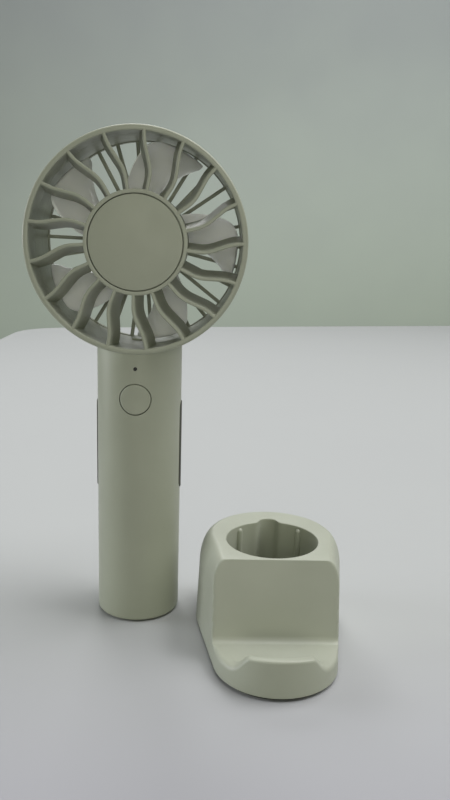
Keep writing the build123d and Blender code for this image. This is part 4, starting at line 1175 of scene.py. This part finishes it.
        columns = [(foot, self.skirt), (lip_outer, top), (lip_inner, top), (lip_foot, self.ledge)]
        columns += [(body[:, k:k + 1], rise[:, k:k + 1]) for k in range(rise.shape[1])]
        columns += [(edge, self.height), (edge, self.socket_floor), (ON_AXIS, self.socket_floor)]
        radii = [0.5, 1.1, 1.1, 1.2, 0.0] + [0.0] * (rise.shape[1] - 2) + [0.9, 0.6, 0.8, 0.0]
        radii = np.tile(radii, (len(angle), 1))
        radii[:, 1] += self.notch_round * (1 - share[:, 0])
        outside = rounded(self.section(columns, len(angle)), radii, 5, closed=False)
        return np.concatenate([outside, self.under_profile(angle)], axis=1)

    def under_profile(self, angle: Array) -> Array:
        """Inner wall from the socket's floor back to the foot, for every direction.

        Args:
            angle: directions round the socket.

        Returns:
            Array (directions, points, 2).
        """
        a = angle[:, None]
        top = self.height - self.wall
        tube = self.socket_edge(a) + self.tube_wall
        under = self.socket_floor - self.floor_thickness
        rise = np.linspace(top - self.under_drop, self.ledge - self.wall + 0.1, 8)[None, :]
        inner = np.minimum(self.outer_radius(a, rise, self.wall), self.rest_radius(a, rise, self.wall))
        inner = np.maximum(inner, tube + self.under_gap)
        low = self.outer_radius(a, np.array([[self.ledge - self.wall, self.skirt]]), self.wall)
        columns = [(ON_AXIS, under), (tube, under), (tube, top - self.under_drop)]
        columns += [(inner[:, k:k + 1], rise[:, k:k + 1]) for k in range(rise.shape[1])]
        columns += [(low[:, :1], self.ledge - self.wall), (low[:, 1:], self.skirt)]
        return self.section(columns, len(angle))

    def rib(self, turn: float) -> Array:
        """One upright rib of the socket: a round bar whose top closes as a quarter sphere.

        Args:
            turn: the rib's direction in degrees.

        Returns:
            Grid along the rib and round its section.
        """
        half = self.rib_width / 2
        top = self.height - self.rib_drop
        bend = quarter(6)
        heights = np.concatenate([[self.socket_floor - 0.5], top - half + half * np.sin(bend)])
        widths = np.concatenate([[half], np.maximum(half * np.cos(bend), ON_AXIS)])
        ring = np.linspace(0, 2 * np.pi, 20, endpoint=False)[None, :]
        radius = self.socket - self.rib_proud + half
        away = radius + widths[:, None] * np.cos(ring) * np.where(np.cos(ring) > 0, 1.5, 1.0)
        side = widths[:, None] * np.sin(ring)
        angle = np.radians(turn)
        across = away * np.sin(angle) + side * np.cos(angle)
        back = away * np.cos(angle) - side * np.sin(angle)
        return self.in_frame(across, back, heights[:, None])

    def build(self, palette: Palette) -> None:
        """Makes the moulding and puts it in the frame.

        Args:
            palette: the materials.
        """
        angle = self.angles()
        profile = self.skin_profiles(angle)
        across = profile[..., 0] * np.sin(angle)[:, None]
        back = profile[..., 0] * np.cos(angle)[:, None]
        skin = Skin()
        skin.grid(self.in_frame(across, back, profile[..., 1]), wrap_u=True, wrap_v=True)
        for turn in (self.rib_angle, -self.rib_angle, 180 - self.rib_angle, 180 + self.rib_angle):
            skin.tube(self.rib(turn))
        place(skin.to_object("stand_moulding", 32.0), "stand", "stand_plastic", palette["stand"], "stand_shell")


# ---------------------------------------------------------------- carried-over nodes
class CarriedOver:
    """Nodes of the frame that keep their shape and get a procedural finish."""

    finishes: dict[str, tuple[str, ...]] = {
        "halves": ("front_shell", "rear_shell"),
        "bars": ("rear_hub_cap",),
        "shell": ("lead_cover", "base_cap"),
        "stand": ("stand_base_plate",),
        "foot": ("base_foot", "stand_foot"),
        "black": ("switch_plunger", "switch_body", "battery_cradle"),
        "pipe": ("light_pipe", "status_led"),
        "steel": ("rotor_yoke", "motor_shaft", "shaft_clip", "front_bearing", "rear_bearing", "board_screws",
                  "battery_tabs", "charging_port", "base_screws", "stand_screws"),
        "magnet": ("magnet_ring",),
        "core": ("stator_core",),
        "copper": ("stator_windings",),
        "board": ("motor_board", "control_board", "charging_board"),
        "wrap": ("battery_cell",),
    }

    def dress(self, nodes: dict[str, Piece], palette: Palette) -> None:
        """Gives each node its material.

        Args:
            nodes: the frame's nodes by name.
            palette: the materials.
        """
        for key, names in self.finishes.items():
            for name in names:
                node = nodes[name]
                if not node.material_slots:
                    node.data.materials.append(palette[key])
                for slot in node.material_slots:
                    slot.material = palette[key]
                LOG.info("node %s dressed as %s", name, key)


# ---------------------------------------------------------------- stage
LAMP_AIM = Vector((0.03, 0.0, 0.1))


@dataclass(frozen=True)
class Lamp:
    """One soft square lamp that looks at the object's middle."""

    name: str
    place: tuple[float, float, float]
    size: float
    watts: float
    colour: Colour = (1.0, 1.0, 1.0)

    def hang(self) -> None:
        """Makes the lamp."""
        data = bpy.data.lights.new(self.name, "AREA")
        data.size = self.size
        data.energy = self.watts
        data.color = self.colour
        made = bpy.data.objects.new(self.name, data)
        bpy.context.scene.collection.objects.link(made)
        made.location = Vector(self.place) * MM
        made.rotation_euler = (LAMP_AIM - made.location).to_track_quat("-Z", "Y").to_euler()


LAMPS = (
    Lamp("key", (1300.0, 100.0, 1500.0), 1.4, 20.0),
    Lamp("overhead", (380.0, 160.0, 1800.0), 1.3, 22.5),
    Lamp("rear", (-250.0, 1200.0, 1000.0), 0.5, 5.4),
    Lamp("window", (-1200.0, 60.0, 300.0), 0.55, 8.5, (0.97, 1.0, 1.04)),
    Lamp("front", (100.0, -1300.0, 330.0), 0.6, 4.1, (0.99, 1.0, 0.83)),
)


@dataclass
class Stage:
    """Pale floor, wall behind it, soft lamps and the camera; the floor and wall colours hold painted shade and painted
    light.
    """

    camera_place: tuple[float, float, float] = (35.641, -333.668, 173.073)
    camera_ahead: tuple[float, float, float] = (0.0071084, 0.9765256, -0.2152842)
    camera_up: tuple[float, float, float] = (-0.0283840, 0.2154000, 0.9761133)
    lens: float = 34.43
    table_corners: tuple[tuple[float, float], ...] = ((-305.0, -2600.0), (-305.0, 985.0), (2600.0, 1784.0),
                                                      (2600.0, -2600.0))
    table_rounds: tuple[float, ...] = (50.0, 75.0, 50.0, 50.0)
    table_middle: tuple[float, float, float] = (800.0, -300.0, 0.0)
    table_thickness: float = 25.0
    wall_distance: float = 1650.0
    wall_half_width: float = 3500.0
    wall_heights: tuple[float, float] = (-900.0, 2600.0)
    # The near floor colour is darker: painted shade, the table darkening towards the camera.
    shaded_near_floor: Colour = (0.33, 0.33, 0.355)
    far_floor: Colour = (0.40, 0.41, 0.41)
    # The wall's two colours paint light and shade: lighter towards the bottom, darker towards the top.
    lit_low_wall: Colour = (0.57, 0.65, 0.55)
    shaded_high_wall: Colour = (0.40, 0.436, 0.425)
    sky_strength: float = 0.08

    def build(self) -> None:
        """Makes the stage."""
        self.camera()
        self.backdrop()
        self.lamps()
        bpy.context.scene.view_settings.view_transform = "Standard"

    def camera(self) -> None:
        """Camera at the photograph's place, its axes given by two directions."""
        data = bpy.data.cameras.new("camera")
        data.lens = self.lens
        data.sensor_width = 36.0
        data.clip_start = 0.01
        data.clip_end = 20.0
        made = bpy.data.objects.new("camera", data)
        bpy.context.scene.collection.objects.link(made)
        ahead, up = Vector(self.camera_ahead).normalized(), Vector(self.camera_up).normalized()
        right = ahead.cross(up).normalized()
        up = right.cross(ahead)
        turn = Matrix((right, up, -ahead)).transposed().to_4x4()
        made.matrix_world = Matrix.Translation(Vector(self.camera_place) * MM) @ turn
        bpy.context.scene.camera = made

    def backdrop(self) -> None:
        """Table top with a round corner, painted darker towards the camera, and a plain flat wall behind it, painted
        lighter towards the bottom and darker towards the top.
        """
        outline = rounded(np.array(self.table_corners), np.array(self.table_rounds), 12)
        ring = np.concatenate([outline, np.zeros((len(outline), 1))], axis=1)
        middle = np.broadcast_to(np.array(self.table_middle), ring.shape)
        table = Skin()
        table.grid(np.stack([middle, ring, ring - np.array([0.0, 0.0, self.table_thickness])]), wrap_v=True)
        # Painted shade: the table's colour darkens towards the camera.
        self.sheet(table, "table_top", "Y", (-135.0, -15.0), self.shaded_near_floor, self.far_floor)
        wall = Skin()
        sides = (-self.wall_half_width, self.wall_half_width)
        wall.grid(np.array([[(side, self.wall_distance, up) for up in self.wall_heights] for side in sides]))
        # Painted light and shade: the wall's colour is lighter at the bottom and darker at the top.
        self.sheet(wall, "wall", "Z", (-60.0, 700.0), self.lit_low_wall, self.shaded_high_wall)

    def sheet(self, skin: Skin, name: str, axis: str, span: tuple[float, float], first: Colour,
              last: Colour) -> None:
        """Makes one piece of the stage, matt, its colour passing into another along an axis, which paints shade and
        light on it.

        Args:
            skin: the piece's grids.
            name: the piece's name.
            axis: the axis along which the colour changes.
            span: where along the axis the change starts and ends.
            first: the colour before the span.
            last: the colour after it.
        """
        made = skin.to_object(name, 60.0)
        material = bpy.data.materials.new(name)
        material.use_nodes = True
        tree = material.node_tree
        shader = tree.nodes["Principled BSDF"]
        where = tree.nodes.new("ShaderNodeTexCoord").outputs["Object"]
        along = range_node(tree, axis_node(tree, where, axis), span[0] * MM, span[1] * MM)
        mottle = range_node(tree, noise_node(tree, where, 6.0), 0.35, 0.65, -0.04, 0.04)
        tree.links.new(Finish.mix(tree, math_node(tree, "ADD", along, mottle, clamp=True), first, last),
                       shader.inputs["Base Color"])
        shader.inputs["Roughness"].default_value = 0.7
        made.data.materials.append(material)

    def lamps(self) -> None:
        """A lamp high on the right, one overhead, three weaker ones round the object, and a faint sky."""
        world = bpy.data.worlds.new("soft sky")
        world.use_nodes = True
        sky = world.node_tree.nodes["Background"]
        sky.inputs["Color"].default_value = (1.0, 1.0, 0.9, 1.0)
        sky.inputs["Strength"].default_value = self.sky_strength
        bpy.context.scene.world = world
        for lamp in LAMPS:
            lamp.hang()


def main() -> None:
    """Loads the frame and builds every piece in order."""
    logging.basicConfig(level=logging.INFO, format="%(message)s")
    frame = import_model()
    palette = Palette(Shared())
    Stage().build()
    CarriedOver().dress(frame["nodes"], palette)
    FrontGrille().build(palette)
    CentreCap().build(palette)
    RearGrille().build(palette)
    Impeller().build(palette)
    Button().build(palette)
    SideGrip(side=1).build("grip_strip_right", palette)
    SideGrip(side=-1).build("grip_strip_left", palette)
    Stand().build(palette)


if __name__ == "__main__":
    main()
